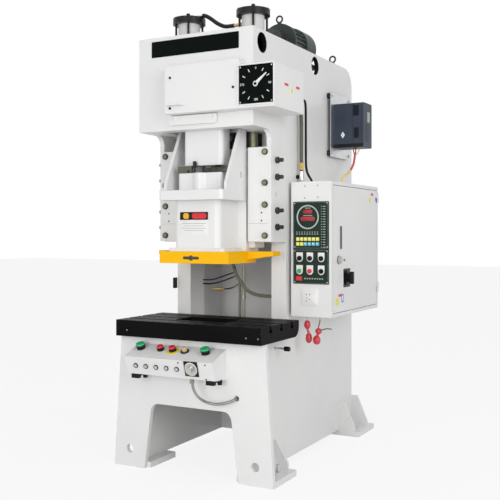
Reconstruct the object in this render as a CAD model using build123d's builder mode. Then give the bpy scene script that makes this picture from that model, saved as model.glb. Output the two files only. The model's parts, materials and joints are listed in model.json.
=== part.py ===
from build123d import *
from math import acos, asin, atan2, cos, degrees, hypot, pi, radians, sin, tan
import os

# Gap-frame mechanical press of the 80 ton class, in millimetres.
# Origin: on the floor, at the centre of the four anchor holes in the feet.
# X runs to the operator's right, Y from the operator to the back, Z up.

# Frame
half_width = 398.0
plate = 30.0
frame_front = -806.0
frame_rear = 781.0
frame_top = 2620.0
foot_thick = 35.0
bed_top = 804.0
bed_thick = 40.0
throat_y = -330.0
throat_round = 50.0
guide_front = -532.0
guide_bottom = 1380.0
crown_front = -760.0
crown_bottom = 2049.0
crown_wall = 25.0
crown_round = 62.0
rear_round = 130.0
side_hole_r = 60.0
side_hole_z = 2543.0
side_hole_y = (-649.0, 117.0)
rear_wall_y = 200.0
rear_wall_top = 1900.0
wall_hole_z = 330.0
wall_hole_wide = 420.0
wall_hole_high = 260.0
wall_hole_round = 40.0
sight_slot_long = 34.0
sight_slot_wide = 10.0
gap = 0.3
inner = half_width - plate
gap_front = frame_front + plate

# Base front plate
leg_half_floor = 551.0
leg_half_top = 498.0
arch_top = 401.0
arch_half_floor = 327.0
arch_half_top = 274.0
arch_round = 55.0
lift_hole_r = 26.0
lift_hole_x = 435.0
lift_hole_z = 108.0
cable_hole_r = 15.0
cable_hole_x = 316.0
cable_hole_z = 485.0

# Feet
foot_out = 552.0
foot_in = 300.0
front_foot_back = -506.0
rear_foot_front = 518.0
rear_foot_back = 833.0
anchor_x = 480.0
anchor_y = 665.0
anchor_r = 13.5
level_r = 10.0
level_offset = 60.0
gusset = 16.0
front_gusset_y = -540.0
front_gusset_foot = 113.0
front_gusset_low = 76.0
front_gusset_wide = 34.0
front_gusset_high = 200.0
rear_gusset_foot = 125.0
rear_gusset_low = 62.0
rear_gusset_wide = 50.0
rear_gusset_high = 240.0
level_bolt_high = 45.0
level_nut_r = 17.0
level_nut_high = 16.0

# Bolster
bolster_half = 500.0
bolster_deep = 500.0
bolster_thick = 98.0
bolster_front = -860.0
bolster_round = 60.0
slot_pitch = 141.0
slot_middle = -599.0
slot_neck = 22.0
slot_neck_deep = 24.0
slot_head = 38.0
slot_head_high = 17.0
knockout_half = 180.0
knockout_deep = 200.0
bolster_top = bed_top + bolster_thick
bolster_middle = bolster_front + bolster_deep / 2

# Crank drive
stroke = 160.0
crank_angle = 50.0
crank_z = 2310.0
ram_y = -609.0
fit = 0.08
front_journal_r = 60.0
front_bearing = 70.0
rear_journal_r = 70.0
pin_r = 75.0
pin_wide = 118.0
cheek = 22.0
eye_wide = 110.0
ball_z = 1640.0
ball_r = 55.0
seat_ledge = 35.0
seat_throat_r = 45.0
seat_mouth_r = 61.0
shank_r = 38.0
shank_long = 165.0
lock_ring_r = 46.0
rod_half_x = 60.0
rod_half_y = 42.0
boss_r = 105.0
bearing_front = -430.0
bearing_back = -345.0
bearing_web_y = -415.0
gear_module = 7.0
gear_teeth = 60
pinion_teeth = 15
gear_front = -320.0
gear_wide = 90.0
gear_seat_r = 65.0
gear_hole_r = 26.0
gear_hole_at = 132.0
gear_rim = 36.0
gear_hub_r = 96.0
gear_recess = 20.0
backlash = 0.9
shaft_r = 50.0
pinion_journal_r = 38.0
flywheel_r = 320.0
flywheel_front = -145.0
flywheel_wide = 100.0
clutch_long = 85.0
clutch_r = 170.0
motor_shaft_r = 21.0
motor_x = 200.0
motor_z = 2692.0
motor_high = 132.0
pulley_r = 70.0
belt_count = 4
belt_pitch = 23.0
belt_wide = 16.0
belt_thick = 10.0
groove_deep = 13.0
crank_throw = stroke / 2
pin_x = crank_throw * sin(radians(crank_angle))
pin_z = crank_z + crank_throw * cos(radians(crank_angle))
rod_length = hypot(pin_x, pin_z - ball_z)
rod_tilt = degrees(asin(pin_x / rod_length))
shaft_z = crank_z - gear_module * (gear_teeth + pinion_teeth) / 2
pin_front = ram_y - pin_wide / 2
pin_back = ram_y + pin_wide / 2
gear_back = gear_front + gear_wide
flywheel_back = flywheel_front + flywheel_wide

# Gear tank in the crown
tank_floor = 1950.0
tank_wall = 15.0
tank_front = -350.0
tank_rear = -200.0
tank_rear_wall = 25.0
tank_top = 2537.0
rear_boss_back = -155.0

# Slide, its bottom plate and its guides
die_gap = 348.0
slide_plate_thick = 70.0
slide_plate_half = 240.0
slide_plate_front = -770.0
slide_plate_back = -430.0
ear_out = 410.0
ear_front = -530.0
ear_thick = 50.0
ear_tip = 25.0
body_half = 158.0
body_front = -737.0
lip_half = 195.0
lip_front = -750.0
lip_thick = 21.0
band_half = 222.0
band_front = -813.0
band_bottom = 1627.0
band_top = 1686.0
neck_half = 155.0
neck_front = -700.0
neck_top = 1793.0
column_half = 222.0
column_front = -520.0
column_back = -360.0
column_top = 1945.0
wing_half = 262.0
rib_thick = 22.0
rib_low_y = -754.0
rib_low_z = 1725.0
rib_top = 2061.0
rib_top_y = -585.0
gib_inner = 241.0
gib_thick = 50.0
gib_high = 568.0
gib_bolt_x = 357.0
gib_bolt_z = (1416.0, 1601.0, 1733.0, 1918.0)
gib_bolt_r = 10.0
adjust_y = -465.0
adjust_z = (1467.0, 1567.0, 1769.0, 1871.0)
adjust_r = 12.0
slide_bottom = bolster_top + die_gap
slide_base = slide_bottom + slide_plate_thick
guide_back = guide_front + gib_thick
gib_top = guide_bottom + gib_high

# Oil guard round the connecting rod
guard_half = 136.0
guard_front = -665.0
guard_back = -553.0
guard_bottom = 1840.0
guard_wall = 8.0
guard_round = 25.0
guard_flange = 12.0
guard_flange_wide = 30.0

# Balance cylinders and the rods under them
balance_x = 232.0
balance_y = -448.0
balance_r = 70.0
balance_bore_r = 58.0
balance_bottom = 2450.0
balance_top = 2762.0
balance_rod_r = 28.0
piston_low = 2580.0
piston_thick = 40.0
cap_r = 104.0
cap_thick = 38.0
rod_hole_r = 32.0

# Front cover, cam box and dial
cover_left = -160.0
cover_step = 345.0
cover_right = 571.0
cover_bottom = 2136.0
cover_top = 2425.0
cam_box_top = 2385.0
cover_deep = 80.0
cover_wall = 3.0
cover_round = 18.0
cam_box_back = -445.0
dial_x = 460.0
dial_z = 2266.0
dial_half = 109.0
dial_thick = 5.0
mark_long = 22.0
mark_wide = 6.0
mark_high = 1.5
mark_inset = 20.0
pointer_hub_r = 15.0
pointer_thick = 5.0
cam_r = 34.0
cam_thick = 14.0
cam_pitch = 45.0
cam_shaft_r = 9.0
sprocket_r = 40.0
sprocket_back = -780.0
sprocket_thick = 8.0
chain_thick = 6.0
cover_front = crown_front - cover_deep

# Cabinet on the right side
cabinet_in = 420.0
cabinet_out = 689.0
cabinet_front = -300.0
cabinet_back = 530.0
cabinet_bottom = 917.0
cabinet_top = 1747.0
sheet = 3.0
rim = 22.0
door_thick = 14.0
door_gap = 3.0
hinge_r = 7.0
hinge_pin_r = 4.0
hinge_long = 34.0
latch_r = 9.0
latch_y = -188.0
latch_z = 1265.0
isolator_y = -62.0
isolator_z = 1150.0
latch_collar_r = 21.0
latch_collar_high = 24.0
latch_wing_long = 84.0
latch_wing_wide = 18.0
latch_wing_high = 14.0
isolator_plate_wide = 118.0
isolator_plate_high = 122.0
isolator_plate_thick = 4.0
isolator_base_r = 46.0
isolator_base_high = 9.0
isolator_hub_r = 30.0
isolator_hub_high = 12.0
isolator_grip_long = 78.0
isolator_grip_wide = 17.0
isolator_grip_high = 26.0
handle_y = -155.0
handle_low = 1332.0
handle_high = 1475.0

# Operator panel on the cabinet front
panel_left = 436.0
panel_right = 673.0
panel_bottom = 1119.0
panel_top = 1624.0
panel_thick = 5.0
ring_x = 534.5
ring_z = 1529.0
ring_r = 75.0
ring_wide = 5.0
control_r = 11.0
button_z = 1198.0
selector_z = 1276.0
control_x = (480.0, 549.0, 624.0)

# Inverter and its carrier plate
inverter_in = 432.0
inverter_out = 650.0
inverter_front = 355.0
inverter_back = 515.0
inverter_bottom = 2015.0
inverter_top = 2318.0
carrier_front = 308.0
carrier_back = 662.0
carrier_bottom = 1955.0
carrier_top = 2400.0
carrier_thick = 5.0
buffer_r = 20.0

# Two-hand console
console_left = -362.0
console_right = 245.0
console_back_z = 762.0
console_ridge_y = -962.0
console_ridge_z = 703.0
console_low_y = -930.0
console_low_z = 597.0
console_under_z = 585.0
console_wall = 3.0
stem_r = 11.0
collar_high = 9.0
palm_collar_r = 26.0
stop_collar_r = 22.0
lamp_r = 15.0
lamp_high = 16.0
plug_r = 14.0
switch_plate_wide = 90.0
switch_plate_thick = 5.0
button_down = 68.0
palm_x = (-304.0, 148.0)
stop_x = -163.0
emergency_x = -78.0
lamp_x = 6.0
switch_x = 100.0
switch_down = 46.0
plug_x = -288.0
plug_pitch = 72.0
plug_down = 56.0

os.makedirs("parts", exist_ok=True)


def run_length(a, b):
    return (Vector(*b) - Vector(*a)).length


def corner_radii(points):
    # Largest arc that each corner of a route leaves room for
    radii = []
    for a, b, c in zip(points, points[1:], points[2:]):
        turn = (Vector(*b) - Vector(*a)).get_angle(Vector(*c) - Vector(*b))
        shorter = min(run_length(a, b), run_length(b, c))
        radii.append(0.45 * shorter / tan(radians(turn / 2)))
    return radii


def tube(points, radius, name):
    # Round hose or conduit: straight runs joined by arcs
    radii = corner_radii(points)
    with BuildPart() as made:
        with BuildLine() as path:
            FilletPolyline(*points, radius=radii)
        line = path.wires()[0]
        with BuildSketch(Plane(origin=line @ 0, z_dir=line % 0)):
            Circle(radius)
        sweep(path=line)
    ratio = made.part.volume / (pi * radius**2 * line.length)
    print(name, "radii", [round(r) for r in radii], "length", round(line.length), "ratio", round(ratio, 4))
    return made.part


def tooth_points(teeth, addendum):
    # Right and left flank of one involute tooth, as radius and angle
    pressure = radians(20)
    pitch_r = teeth * gear_module / 2
    base_r = pitch_r * cos(pressure)
    root_r = pitch_r - 1.35 * gear_module
    tip_r = pitch_r + addendum * gear_module
    half = pi / 2 / teeth - backlash / 2 / pitch_r + tan(pressure) - pressure
    low_r = max(base_r, root_r)
    flank = [(root_r, half)]
    for share in (0.0, 0.45, 1.0):
        r = low_r + (tip_r - low_r) * share
        roll = acos(base_r / r) if r > base_r else 0.0
        flank.append((r, half - tan(roll) + roll))
    return [(r, -a) for r, a in flank] + [(r, a) for r, a in reversed(flank)]


def gear_outline(teeth, addendum, first_angle):
    # Closed outline of a spur gear with one tooth at first_angle
    points = []
    for index in range(teeth):
        turn = radians(first_angle) + 2 * pi * index / teeth
        points += [(r * cos(turn + a), r * sin(turn + a)) for r, a in tooth_points(teeth, addendum)]
    return points


def loop_face(x0, z0, r0, x1, z1, r1):
    # Area inside a belt line round two wheels: two tangents and two arcs
    along = atan2(z1 - z0, x1 - x0)
    lean = acos((r0 - r1) / hypot(x1 - x0, z1 - z0))
    ends = []
    for a in (along + lean, along - lean):
        ends.append(((x0 + r0 * cos(a), z0 + r0 * sin(a)), (x1 + r1 * cos(a), z1 + r1 * sin(a))))
    far0 = (x0 - r0 * cos(along), z0 - r0 * sin(along))
    far1 = (x1 + r1 * cos(along), z1 + r1 * sin(along))
    with BuildSketch() as area:
        with BuildLine():
            Line(ends[0][0], ends[0][1])
            ThreePointArc(ends[0][1], far1, ends[1][1])
            Line(ends[1][1], ends[1][0])
            ThreePointArc(ends[1][0], far0, ends[0][0])
        make_face()
    return area.sketch


def side_outline():
    # Side plate: base, working gap, guide zone and crown in one outline
    with BuildSketch() as outline:
        Polygon(
            (gap_front, foot_thick),
            (gap_front, bed_top),
            (throat_y, bed_top),
            (throat_y, guide_bottom - 4),
            (guide_back, guide_bottom - 4),
            (guide_back, gib_top + gap),
            (guide_front, gib_top + gap),
            (guide_front, crown_bottom),
            (crown_front + crown_wall, crown_bottom),
            (crown_front + crown_wall, frame_top),
            (frame_rear, frame_top),
            (frame_rear, foot_thick),
            align=None,
        )
        rounds = (
            (throat_y, bed_top, throat_round),
            (throat_y, guide_bottom - 4, throat_round / 4),
            (guide_front, crown_bottom, crown_round),
            (frame_rear, frame_top, rear_round),
        )
        for y, z, radius in rounds:
            fillet(outline.vertices().sort_by_distance((y, z, 0))[0], radius)
    return outline.sketch


# Side plates
for side_name, side_x in (("side_plate_left", -half_width), ("side_plate_right", inner)):
    with BuildPart() as side_plate:
        with BuildSketch(Plane.YZ.offset(side_x)):
            add(side_outline())
            with Locations(*[(y, side_hole_z) for y in side_hole_y]):
                Circle(side_hole_r, mode=Mode.SUBTRACT)
            with Locations(*[(adjust_y, z) for z in adjust_z]):
                Circle(adjust_r + gap, mode=Mode.SUBTRACT)
            with Locations((adjust_y, (guide_bottom + gib_top) / 2)):
                SlotOverall(sight_slot_long, sight_slot_wide, rotation=90, mode=Mode.SUBTRACT)
        extrude(amount=plate)
    side_plate.part.label = side_name
    export_step(side_plate.part, f"parts/{side_name}.step")

# Front plate of the base: tapered legs, arch, lifting holes and a cable hole
with BuildPart() as base_front_plate:
    with BuildSketch(Plane.XZ.offset(-frame_front)):
        Polygon(
            (-leg_half_floor, 0),
            (leg_half_floor, 0),
            (leg_half_top, bed_top),
            (-leg_half_top, bed_top),
            align=None,
        )
    extrude(amount=-plate)
    with BuildSketch(Plane.XZ.offset(-frame_front)) as arch:
        Polygon(
            (-arch_half_floor, 0),
            (arch_half_floor, 0),
            (arch_half_top, arch_top),
            (-arch_half_top, arch_top),
            align=None,
        )
        fillet(arch.vertices().group_by(Axis.Y)[-1], arch_round)
        with Locations((-lift_hole_x, lift_hole_z), (lift_hole_x, lift_hole_z)):
            Circle(lift_hole_r)
        with Locations((cable_hole_x, cable_hole_z)):
            Circle(cable_hole_r)
    extrude(amount=-plate, mode=Mode.SUBTRACT)
base_front_plate.part.label = "base_front_plate"
export_step(base_front_plate.part, "parts/base_front_plate.step")

# Bed plate under the bolster, open in the middle for the knock-out
bed_back = -130.0
with BuildPart() as bed_plate:
    with BuildSketch(Plane.XY.offset(bed_top - bed_thick)):
        with Locations((0, (gap_front + bed_back) / 2)):
            Rectangle(2 * inner, bed_back - gap_front)
        with Locations((0, slot_middle)):
            RectangleRounded(2 * knockout_half, knockout_deep, 30, mode=Mode.SUBTRACT)
    extrude(amount=bed_thick)
bed_plate.part.label = "bed_plate"
export_step(bed_plate.part, "parts/bed_plate.step")

# Columns each side of the throat, with the slide guides above them
strip_in = 298.0
strip_thick = 30.0
column_web = 20.0
column_web_back = -157.0
guide_in = wing_half + gap
guide_rear = -310.0
rear_guide_in = 205.0
with BuildPart() as throat_columns:
    for sign in (-1, 1):
        with BuildSketch(Plane.XY.offset(bed_top)):
            Polygon(
                (sign * inner, throat_y),
                (sign * strip_in, throat_y),
                (sign * strip_in, column_web_back),
                (sign * (strip_in + column_web), column_web_back),
                (sign * (strip_in + column_web), throat_y + strip_thick),
                (sign * inner, throat_y + strip_thick),
                align=None,
            )
        extrude(amount=guide_bottom - 4 - bed_top)
        with BuildSketch(Plane.XY.offset(guide_bottom - 4)):
            Polygon(
                (sign * inner, guide_back),
                (sign * guide_in, guide_back),
                (sign * guide_in, column_back + gap),
                (sign * rear_guide_in, column_back + gap),
                (sign * rear_guide_in, guide_rear),
                (sign * inner, guide_rear),
                align=None,
            )
        extrude(amount=tank_floor - 4 - guide_bottom)
    with BuildSketch(Plane.XZ.offset(-guide_back)):
        with Locations(*[(sign * gib_bolt_x, z) for sign in (-1, 1) for z in gib_bolt_z]):
            Circle(gib_bolt_r)
    extrude(amount=-25, mode=Mode.SUBTRACT)
throat_columns.part.label = "throat_columns"
export_step(throat_columns.part, "parts/throat_columns.step")

# Wall across the frame behind the throat
with BuildPart() as back_plate:
    with BuildSketch(Plane.XZ.offset(-rear_wall_y)):
        with Locations((0, (foot_thick + rear_wall_top) / 2)):
            Rectangle(2 * inner, rear_wall_top - foot_thick)
        with Locations((0, wall_hole_z)):
            RectangleRounded(wall_hole_wide, wall_hole_high, wall_hole_round, mode=Mode.SUBTRACT)
    extrude(amount=-plate)
back_plate.part.label = "back_plate"
export_step(back_plate.part, "parts/back_plate.step")

# Feet: plates under the side plates, with gussets
with BuildPart() as feet:
    for sign in (-1, 1):
        for y0, y1, end in ((gap_front, front_foot_back, -1), (rear_foot_front, rear_foot_back, 1)):
            with BuildSketch(Plane.XY):
                with Locations((sign * (foot_in + foot_out) / 2, (y0 + y1) / 2)):
                    Rectangle(foot_out - foot_in, y1 - y0)
                with Locations((sign * anchor_x, end * anchor_y)):
                    Circle(anchor_r, mode=Mode.SUBTRACT)
                with Locations((sign * anchor_x, end * (anchor_y - level_offset))):
                    Circle(level_r + gap, mode=Mode.SUBTRACT)
            extrude(amount=foot_thick)
        with BuildSketch(Plane.XZ.offset(-front_gusset_y)):
            Polygon(
                (sign * half_width, foot_thick),
                (sign * (half_width + front_gusset_foot), foot_thick),
                (sign * (half_width + front_gusset_foot), front_gusset_low),
                (sign * (half_width + front_gusset_wide), front_gusset_high),
                (sign * half_width, front_gusset_high),
                align=None,
            )
        extrude(amount=-gusset)
        for y in (rear_foot_front, frame_rear - gusset):
            with BuildSketch(Plane.XZ.offset(-y)):
                Polygon(
                    (sign * half_width, foot_thick),
                    (sign * (half_width + rear_gusset_foot), foot_thick),
                    (sign * (half_width + rear_gusset_foot), rear_gusset_low),
                    (sign * (half_width + rear_gusset_wide), rear_gusset_high),
                    (sign * half_width, rear_gusset_high),
                    align=None,
                )
            extrude(amount=-gusset)
feet.part.label = "feet"
export_step(feet.part, "parts/feet.step")

# Levelling screws beside the anchor holes
with BuildPart() as levelling_bolts:
    level_y = anchor_y - level_offset
    with BuildSketch(Plane.XY):
        with GridLocations(2 * anchor_x, 2 * level_y, 2, 2):
            Circle(level_r)
    extrude(amount=foot_thick + level_bolt_high)
    with BuildSketch(Plane.XY.offset(foot_thick)):
        with GridLocations(2 * anchor_x, 2 * level_y, 2, 2):
            RegularPolygon(level_nut_r, 6)
    extrude(amount=level_nut_high)
levelling_bolts.part.label = "levelling_bolts"
export_step(levelling_bolts.part, "parts/levelling_bolts.step")

# Bolster with T-slots and the knock-out opening
with BuildPart() as bolster:
    with BuildSketch(Plane.YZ.offset(-bolster_half)) as bolster_section:
        with Locations((bolster_middle, bed_top + bolster_thick / 2)):
            Rectangle(bolster_deep, bolster_thick)
        low_corners = bolster_section.vertices().group_by(Axis.Y)[0]
        fillet(low_corners.sort_by(Axis.X)[-1], bolster_round)
        for index in (-1, 0, 1):
            y = slot_middle + index * slot_pitch
            with Locations((y, bolster_top - slot_neck_deep / 2)):
                Rectangle(slot_neck, slot_neck_deep, mode=Mode.SUBTRACT)
            with Locations((y, bolster_top - slot_neck_deep - slot_head_high / 2)):
                Rectangle(slot_head, slot_head_high, mode=Mode.SUBTRACT)
    extrude(amount=2 * bolster_half)
    with BuildSketch(Plane.XY.offset(bolster_top)):
        with Locations((0, slot_middle)):
            RectangleRounded(2 * knockout_half, knockout_deep, 20)
    extrude(amount=-bolster_thick, mode=Mode.SUBTRACT)
bolster.part.label = "bolster"
export_step(bolster.part, "parts/bolster.step")

# Crown front plate with the front crank bearing and the raised lower cover
lower_cover_half = 167.0
lower_cover_thick = 20.0
lower_cover_low = 2076.0
with BuildPart() as crown_front_plate:
    with BuildSketch(Plane.XZ.offset(-crown_front)):
        with Locations((0, (crown_bottom + frame_top) / 2)):
            Rectangle(2 * half_width, frame_top - crown_bottom)
    extrude(amount=-crown_wall)
    with BuildSketch(Plane.XZ.offset(-crown_front)):
        with Locations((0, crank_z)):
            Circle(boss_r - 10)
    extrude(amount=-front_bearing)
    with BuildSketch(Plane.XZ.offset(-crown_front)):
        with Locations((0, crank_z)):
            Circle(front_journal_r + fit)
    extrude(amount=-front_bearing, mode=Mode.SUBTRACT)
    with BuildSketch(Plane.XZ.offset(-crown_front)):
        with Locations((0, (lower_cover_low + cover_bottom - 4) / 2)):
            RectangleRounded(2 * lower_cover_half, cover_bottom - 4 - lower_cover_low, 16)
    extrude(amount=lower_cover_thick)
    with BuildSketch(Plane.XZ.offset(-crown_front + lower_cover_thick)):
        screw_z = cover_bottom - 22
        with Locations((-lower_cover_half + 22, screw_z), (lower_cover_half - 35, screw_z)):
            RegularPolygon(11, 6)
    extrude(amount=7)
crown_front_plate.part.label = "crown_front_plate"
export_step(crown_front_plate.part, "parts/crown_front_plate.step")

# Crown floor, gear tank, the web with the rear crank bearing and the pinion bearings
crown_inside = crown_front + crown_wall
rib_opening = -505.0
web_half = balance_x - balance_r - 10
web_low_top = balance_bottom - 20
pinion_boss_r = 60.0
with BuildPart() as crown_floor:
    with BuildSketch(Plane.XY.offset(crown_bottom)):
        with Locations((0, (crown_inside + tank_front + tank_wall) / 2)):
            Rectangle(2 * inner, tank_front + tank_wall - crown_inside)
        with Locations((0, (guard_front + rib_opening) / 2)):
            Rectangle(2 * wing_half, rib_opening - guard_front + 2 * gap, mode=Mode.SUBTRACT)
        with Locations((-balance_x, balance_y), (balance_x, balance_y)):
            Circle(rod_hole_r, mode=Mode.SUBTRACT)
    extrude(amount=crown_wall)
    with BuildSketch(Plane.YZ.offset(-inner)):
        Polygon(
            (tank_front, crown_bottom),
            (tank_front, tank_floor),
            (tank_rear + tank_rear_wall, tank_floor),
            (tank_rear + tank_rear_wall, tank_top),
            (tank_rear, tank_top),
            (tank_rear, tank_floor + 20),
            (tank_front + tank_wall, tank_floor + 20),
            (tank_front + tank_wall, crown_bottom),
            align=None,
        )
    extrude(amount=2 * inner)
    with BuildSketch(Plane.XZ.offset(-bearing_web_y)):
        Polygon(
            (-inner, crown_bottom + crown_wall),
            (inner, crown_bottom + crown_wall),
            (inner, web_low_top),
            (web_half, web_low_top),
            (web_half, frame_top - crown_wall),
            (-web_half, frame_top - crown_wall),
            (-web_half, web_low_top),
            (-inner, web_low_top),
            align=None,
        )
    extrude(amount=-25)
    with BuildSketch(Plane.XZ.offset(-bearing_front)):
        with Locations((0, crank_z)):
            Circle(boss_r)
    extrude(amount=bearing_front - bearing_back)
    with BuildSketch(Plane.XZ.offset(-bearing_front)):
        with Locations((0, crank_z)):
            Circle(rear_journal_r + fit)
    extrude(amount=bearing_front - bearing_back, mode=Mode.SUBTRACT)
    for boss_y, boss_long in ((tank_front - 6, 32), (tank_rear, rear_boss_back - tank_rear)):
        journal = pinion_journal_r if boss_y < tank_rear else shaft_r
        with BuildSketch(Plane.XZ.offset(-boss_y)):
            with Locations((0, shaft_z)):
                Circle(journal + 22)
        extrude(amount=-boss_long)
        with BuildSketch(Plane.XZ.offset(-boss_y)):
            with Locations((0, shaft_z)):
                Circle(journal + fit)
        extrude(amount=-boss_long, mode=Mode.SUBTRACT)
crown_floor.part.label = "crown_floor"
export_step(crown_floor.part, "parts/crown_floor.step")

# Crown top over the crank, and the lower deck for the motor with the belt opening
deck_top = motor_z - motor_high
deck_thick = deck_top - tank_top
deck_front = -355.0
deck_back = 235.0
belt_slot_left = -34.0
belt_slot_right = 302.0
with BuildPart() as crown_top_plate:
    with BuildSketch(Plane.XY.offset(frame_top)):
        with Locations((0, (crown_inside + deck_front + 15) / 2)):
            Rectangle(2 * inner, deck_front + 15 - crown_inside)
        with Locations((-balance_x, balance_y), (balance_x, balance_y)):
            Circle(balance_r + gap, mode=Mode.SUBTRACT)
    extrude(amount=-crown_wall)
    with BuildSketch(Plane.XY.offset(deck_top)):
        with Locations((0, (deck_front + deck_back) / 2)):
            Rectangle(2 * inner, deck_back - deck_front)
        with Locations(((belt_slot_left + belt_slot_right) / 2, (flywheel_front + flywheel_back) / 2)):
            Rectangle(belt_slot_right - belt_slot_left, flywheel_wide + 16, mode=Mode.SUBTRACT)
    extrude(amount=-deck_thick)
    with BuildSketch(Plane.XY.offset(deck_top)):
        with Locations((0, deck_front + 7.5)):
            Rectangle(2 * inner, 15)
    extrude(amount=frame_top - crown_wall - deck_top)
crown_top_plate.part.label = "crown_top_plate"
export_step(crown_top_plate.part, "parts/crown_top_plate.step")

# Front cover over the timing chain: a shell that is open towards the crown
with BuildPart() as front_cover:
    with BuildSketch(Plane.XZ.offset(-crown_front)) as cover_shape:
        Polygon(
            (cover_left, cover_bottom),
            (cover_right, cover_bottom),
            (cover_right, cam_box_top),
            (cover_step + 14, cam_box_top),
            (cover_step, cam_box_top + 14),
            (cover_step, cover_top),
            (cover_left, cover_top),
            align=None,
        )
        for corner in ((cover_left, cover_top), (cover_step, cover_top), (cover_left, cover_bottom)):
            fillet(cover_shape.vertices().sort_by_distance((*corner, 0))[0], cover_round)
    extrude(amount=cover_deep)
    fillet(front_cover.faces().sort_by(Axis.Y)[0].edges(), 6)
    offset(amount=-cover_wall, openings=front_cover.faces().sort_by(Axis.Y)[-1])
    with BuildSketch(Plane.XZ.offset(-cover_front)):
        with Locations((dial_x, dial_z)):
            Circle(cam_shaft_r + 2)
    extrude(amount=-2 * cover_wall, mode=Mode.SUBTRACT)
    with BuildSketch(Plane.XY.offset(cover_bottom + 46)):
        Polygon(
            (cover_left + 20, cover_front),
            (cover_left + 168, cover_front),
            (cover_left + 128, cover_front - 28),
            (cover_left + 44, cover_front - 28),
            align=None,
        )
    extrude(amount=9)
front_cover.part.label = "front_cover"
export_step(front_cover.part, "parts/front_cover.step")

# Cam box behind the dial, beside the crown
with BuildPart() as cam_box:
    with BuildSketch(Plane.XZ.offset(-crown_front)):
        with Locations(((half_width + cover_right) / 2, (cover_bottom + cam_box_top) / 2)):
            Rectangle(cover_right - half_width, cam_box_top - cover_bottom)
    extrude(amount=crown_front - cam_box_back)
    offset(amount=-cover_wall, openings=cam_box.faces().sort_by(Axis.Y)[0])
    with BuildSketch(Plane.XZ.offset(-cam_box_back)):
        with Locations((dial_x, dial_z)):
            Circle(2 * cam_shaft_r)
    extrude(amount=12)
    with BuildSketch(Plane.XZ.offset(-cam_box_back + cover_wall)):
        with Locations((dial_x, dial_z)):
            Circle(cam_shaft_r + fit)
    extrude(amount=12, mode=Mode.SUBTRACT)
cam_box.part.label = "cam_box"
export_step(cam_box.part, "parts/cam_box.step")

# Dial plate with twelve marks
with BuildPart() as dial_plate:
    with BuildSketch(Plane.XZ.offset(-cover_front)):
        with Locations((dial_x, dial_z)):
            RectangleRounded(2 * dial_half, 2 * dial_half, 6)
            Circle(cam_shaft_r + 2, mode=Mode.SUBTRACT)
    extrude(amount=dial_thick)
    with BuildSketch(Plane.XZ.offset(-cover_front + dial_thick)):
        with Locations((dial_x, dial_z)):
            with PolarLocations(dial_half - mark_inset, 12):
                Rectangle(mark_long, mark_wide)
    extrude(amount=mark_high)
dial_plate.part.label = "dial_plate"
export_step(dial_plate.part, "parts/dial_plate.step")

# Cam shaft with its sprocket and three cams
dial_face = cover_front - dial_thick
with BuildPart() as cam_shaft:
    shaft_end = cam_box_back - cover_wall - gap
    with BuildSketch(Plane.XZ.offset(-shaft_end)):
        with Locations((dial_x, dial_z)):
            Circle(cam_shaft_r)
    extrude(amount=shaft_end - dial_face + 3)
    with BuildSketch(Plane.XZ.offset(-sprocket_back)):
        with Locations((dial_x, dial_z)):
            Circle(sprocket_r)
    extrude(amount=sprocket_thick)
    for index in range(3):
        with BuildSketch(Plane.XZ.offset(-crown_front - 110 - index * cam_pitch)):
            with Locations((dial_x + 5, dial_z)):
                Circle(cam_r)
        extrude(amount=cam_thick)
cam_shaft.part.label = "cam_shaft"
export_step(cam_shaft.part, "parts/cam_shaft.step")

# Dial pointer, which shows the crank angle
with BuildPart() as dial_pointer:
    with BuildSketch(Plane.XZ.offset(-dial_face + 3)):
        with Locations((dial_x, dial_z)):
            Circle(pointer_hub_r)
        with Locations(Location((dial_x, dial_z), 90 - crank_angle)):
            tip = dial_half - mark_inset
            Polygon((0, -10), (tip, -2.5), (tip, 2.5), (0, 10), align=None)
    extrude(amount=pointer_thick)
dial_pointer.part.label = "dial_pointer"
export_step(dial_pointer.part, "parts/dial_pointer.step")

# Timing chain from the crank's front end to the cam shaft
with BuildPart() as cam_chain:
    with BuildSketch(Plane.XZ.offset(-sprocket_back + 1)):
        add(loop_face(0, crank_z, sprocket_r + chain_thick, dial_x, dial_z, sprocket_r + chain_thick))
        add(loop_face(0, crank_z, sprocket_r + gap, dial_x, dial_z, sprocket_r + gap), mode=Mode.SUBTRACT)
    extrude(amount=sprocket_thick - 2)
cam_chain.part.label = "cam_chain"
export_step(cam_chain.part, "parts/cam_chain.step")


def cheek_face():
    # Crank cheek: outline that wraps the journal and the offset pin
    with BuildSketch() as face:
        with Locations((0, crank_z)):
            Circle(rear_journal_r + 6)
        with Locations((pin_x, pin_z)):
            Circle(pin_r + 4)
        make_hull()
    return face.sketch


# Crankshaft: journals, cheeks, the offset pin, the gear seat and the sprocket
with BuildPart() as crankshaft:
    steps = (
        (gear_back + 10, gear_front, gear_seat_r),
        (gear_front, pin_back + cheek, rear_journal_r),
        (pin_front - cheek, crown_front, front_journal_r),
        (crown_front, sprocket_back - sprocket_thick - 6, 20.0),
    )
    for y_back, y_front, radius in steps:
        with BuildSketch(Plane.XZ.offset(-y_back)):
            with Locations((0, crank_z)):
                Circle(radius)
        extrude(amount=y_back - y_front)
    for y_back in (pin_back + cheek, pin_front):
        with BuildSketch(Plane.XZ.offset(-y_back)):
            add(cheek_face())
        extrude(amount=cheek)
    with BuildSketch(Plane.XZ.offset(-pin_back)):
        with Locations((pin_x, pin_z)):
            Circle(pin_r)
    extrude(amount=pin_wide)
    with BuildSketch(Plane.XZ.offset(-sprocket_back)):
        with Locations((0, crank_z)):
            Circle(sprocket_r)
    extrude(amount=sprocket_thick)
crankshaft.part.label = "crankshaft"
export_step(crankshaft.part, "parts/crankshaft.step")

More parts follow.
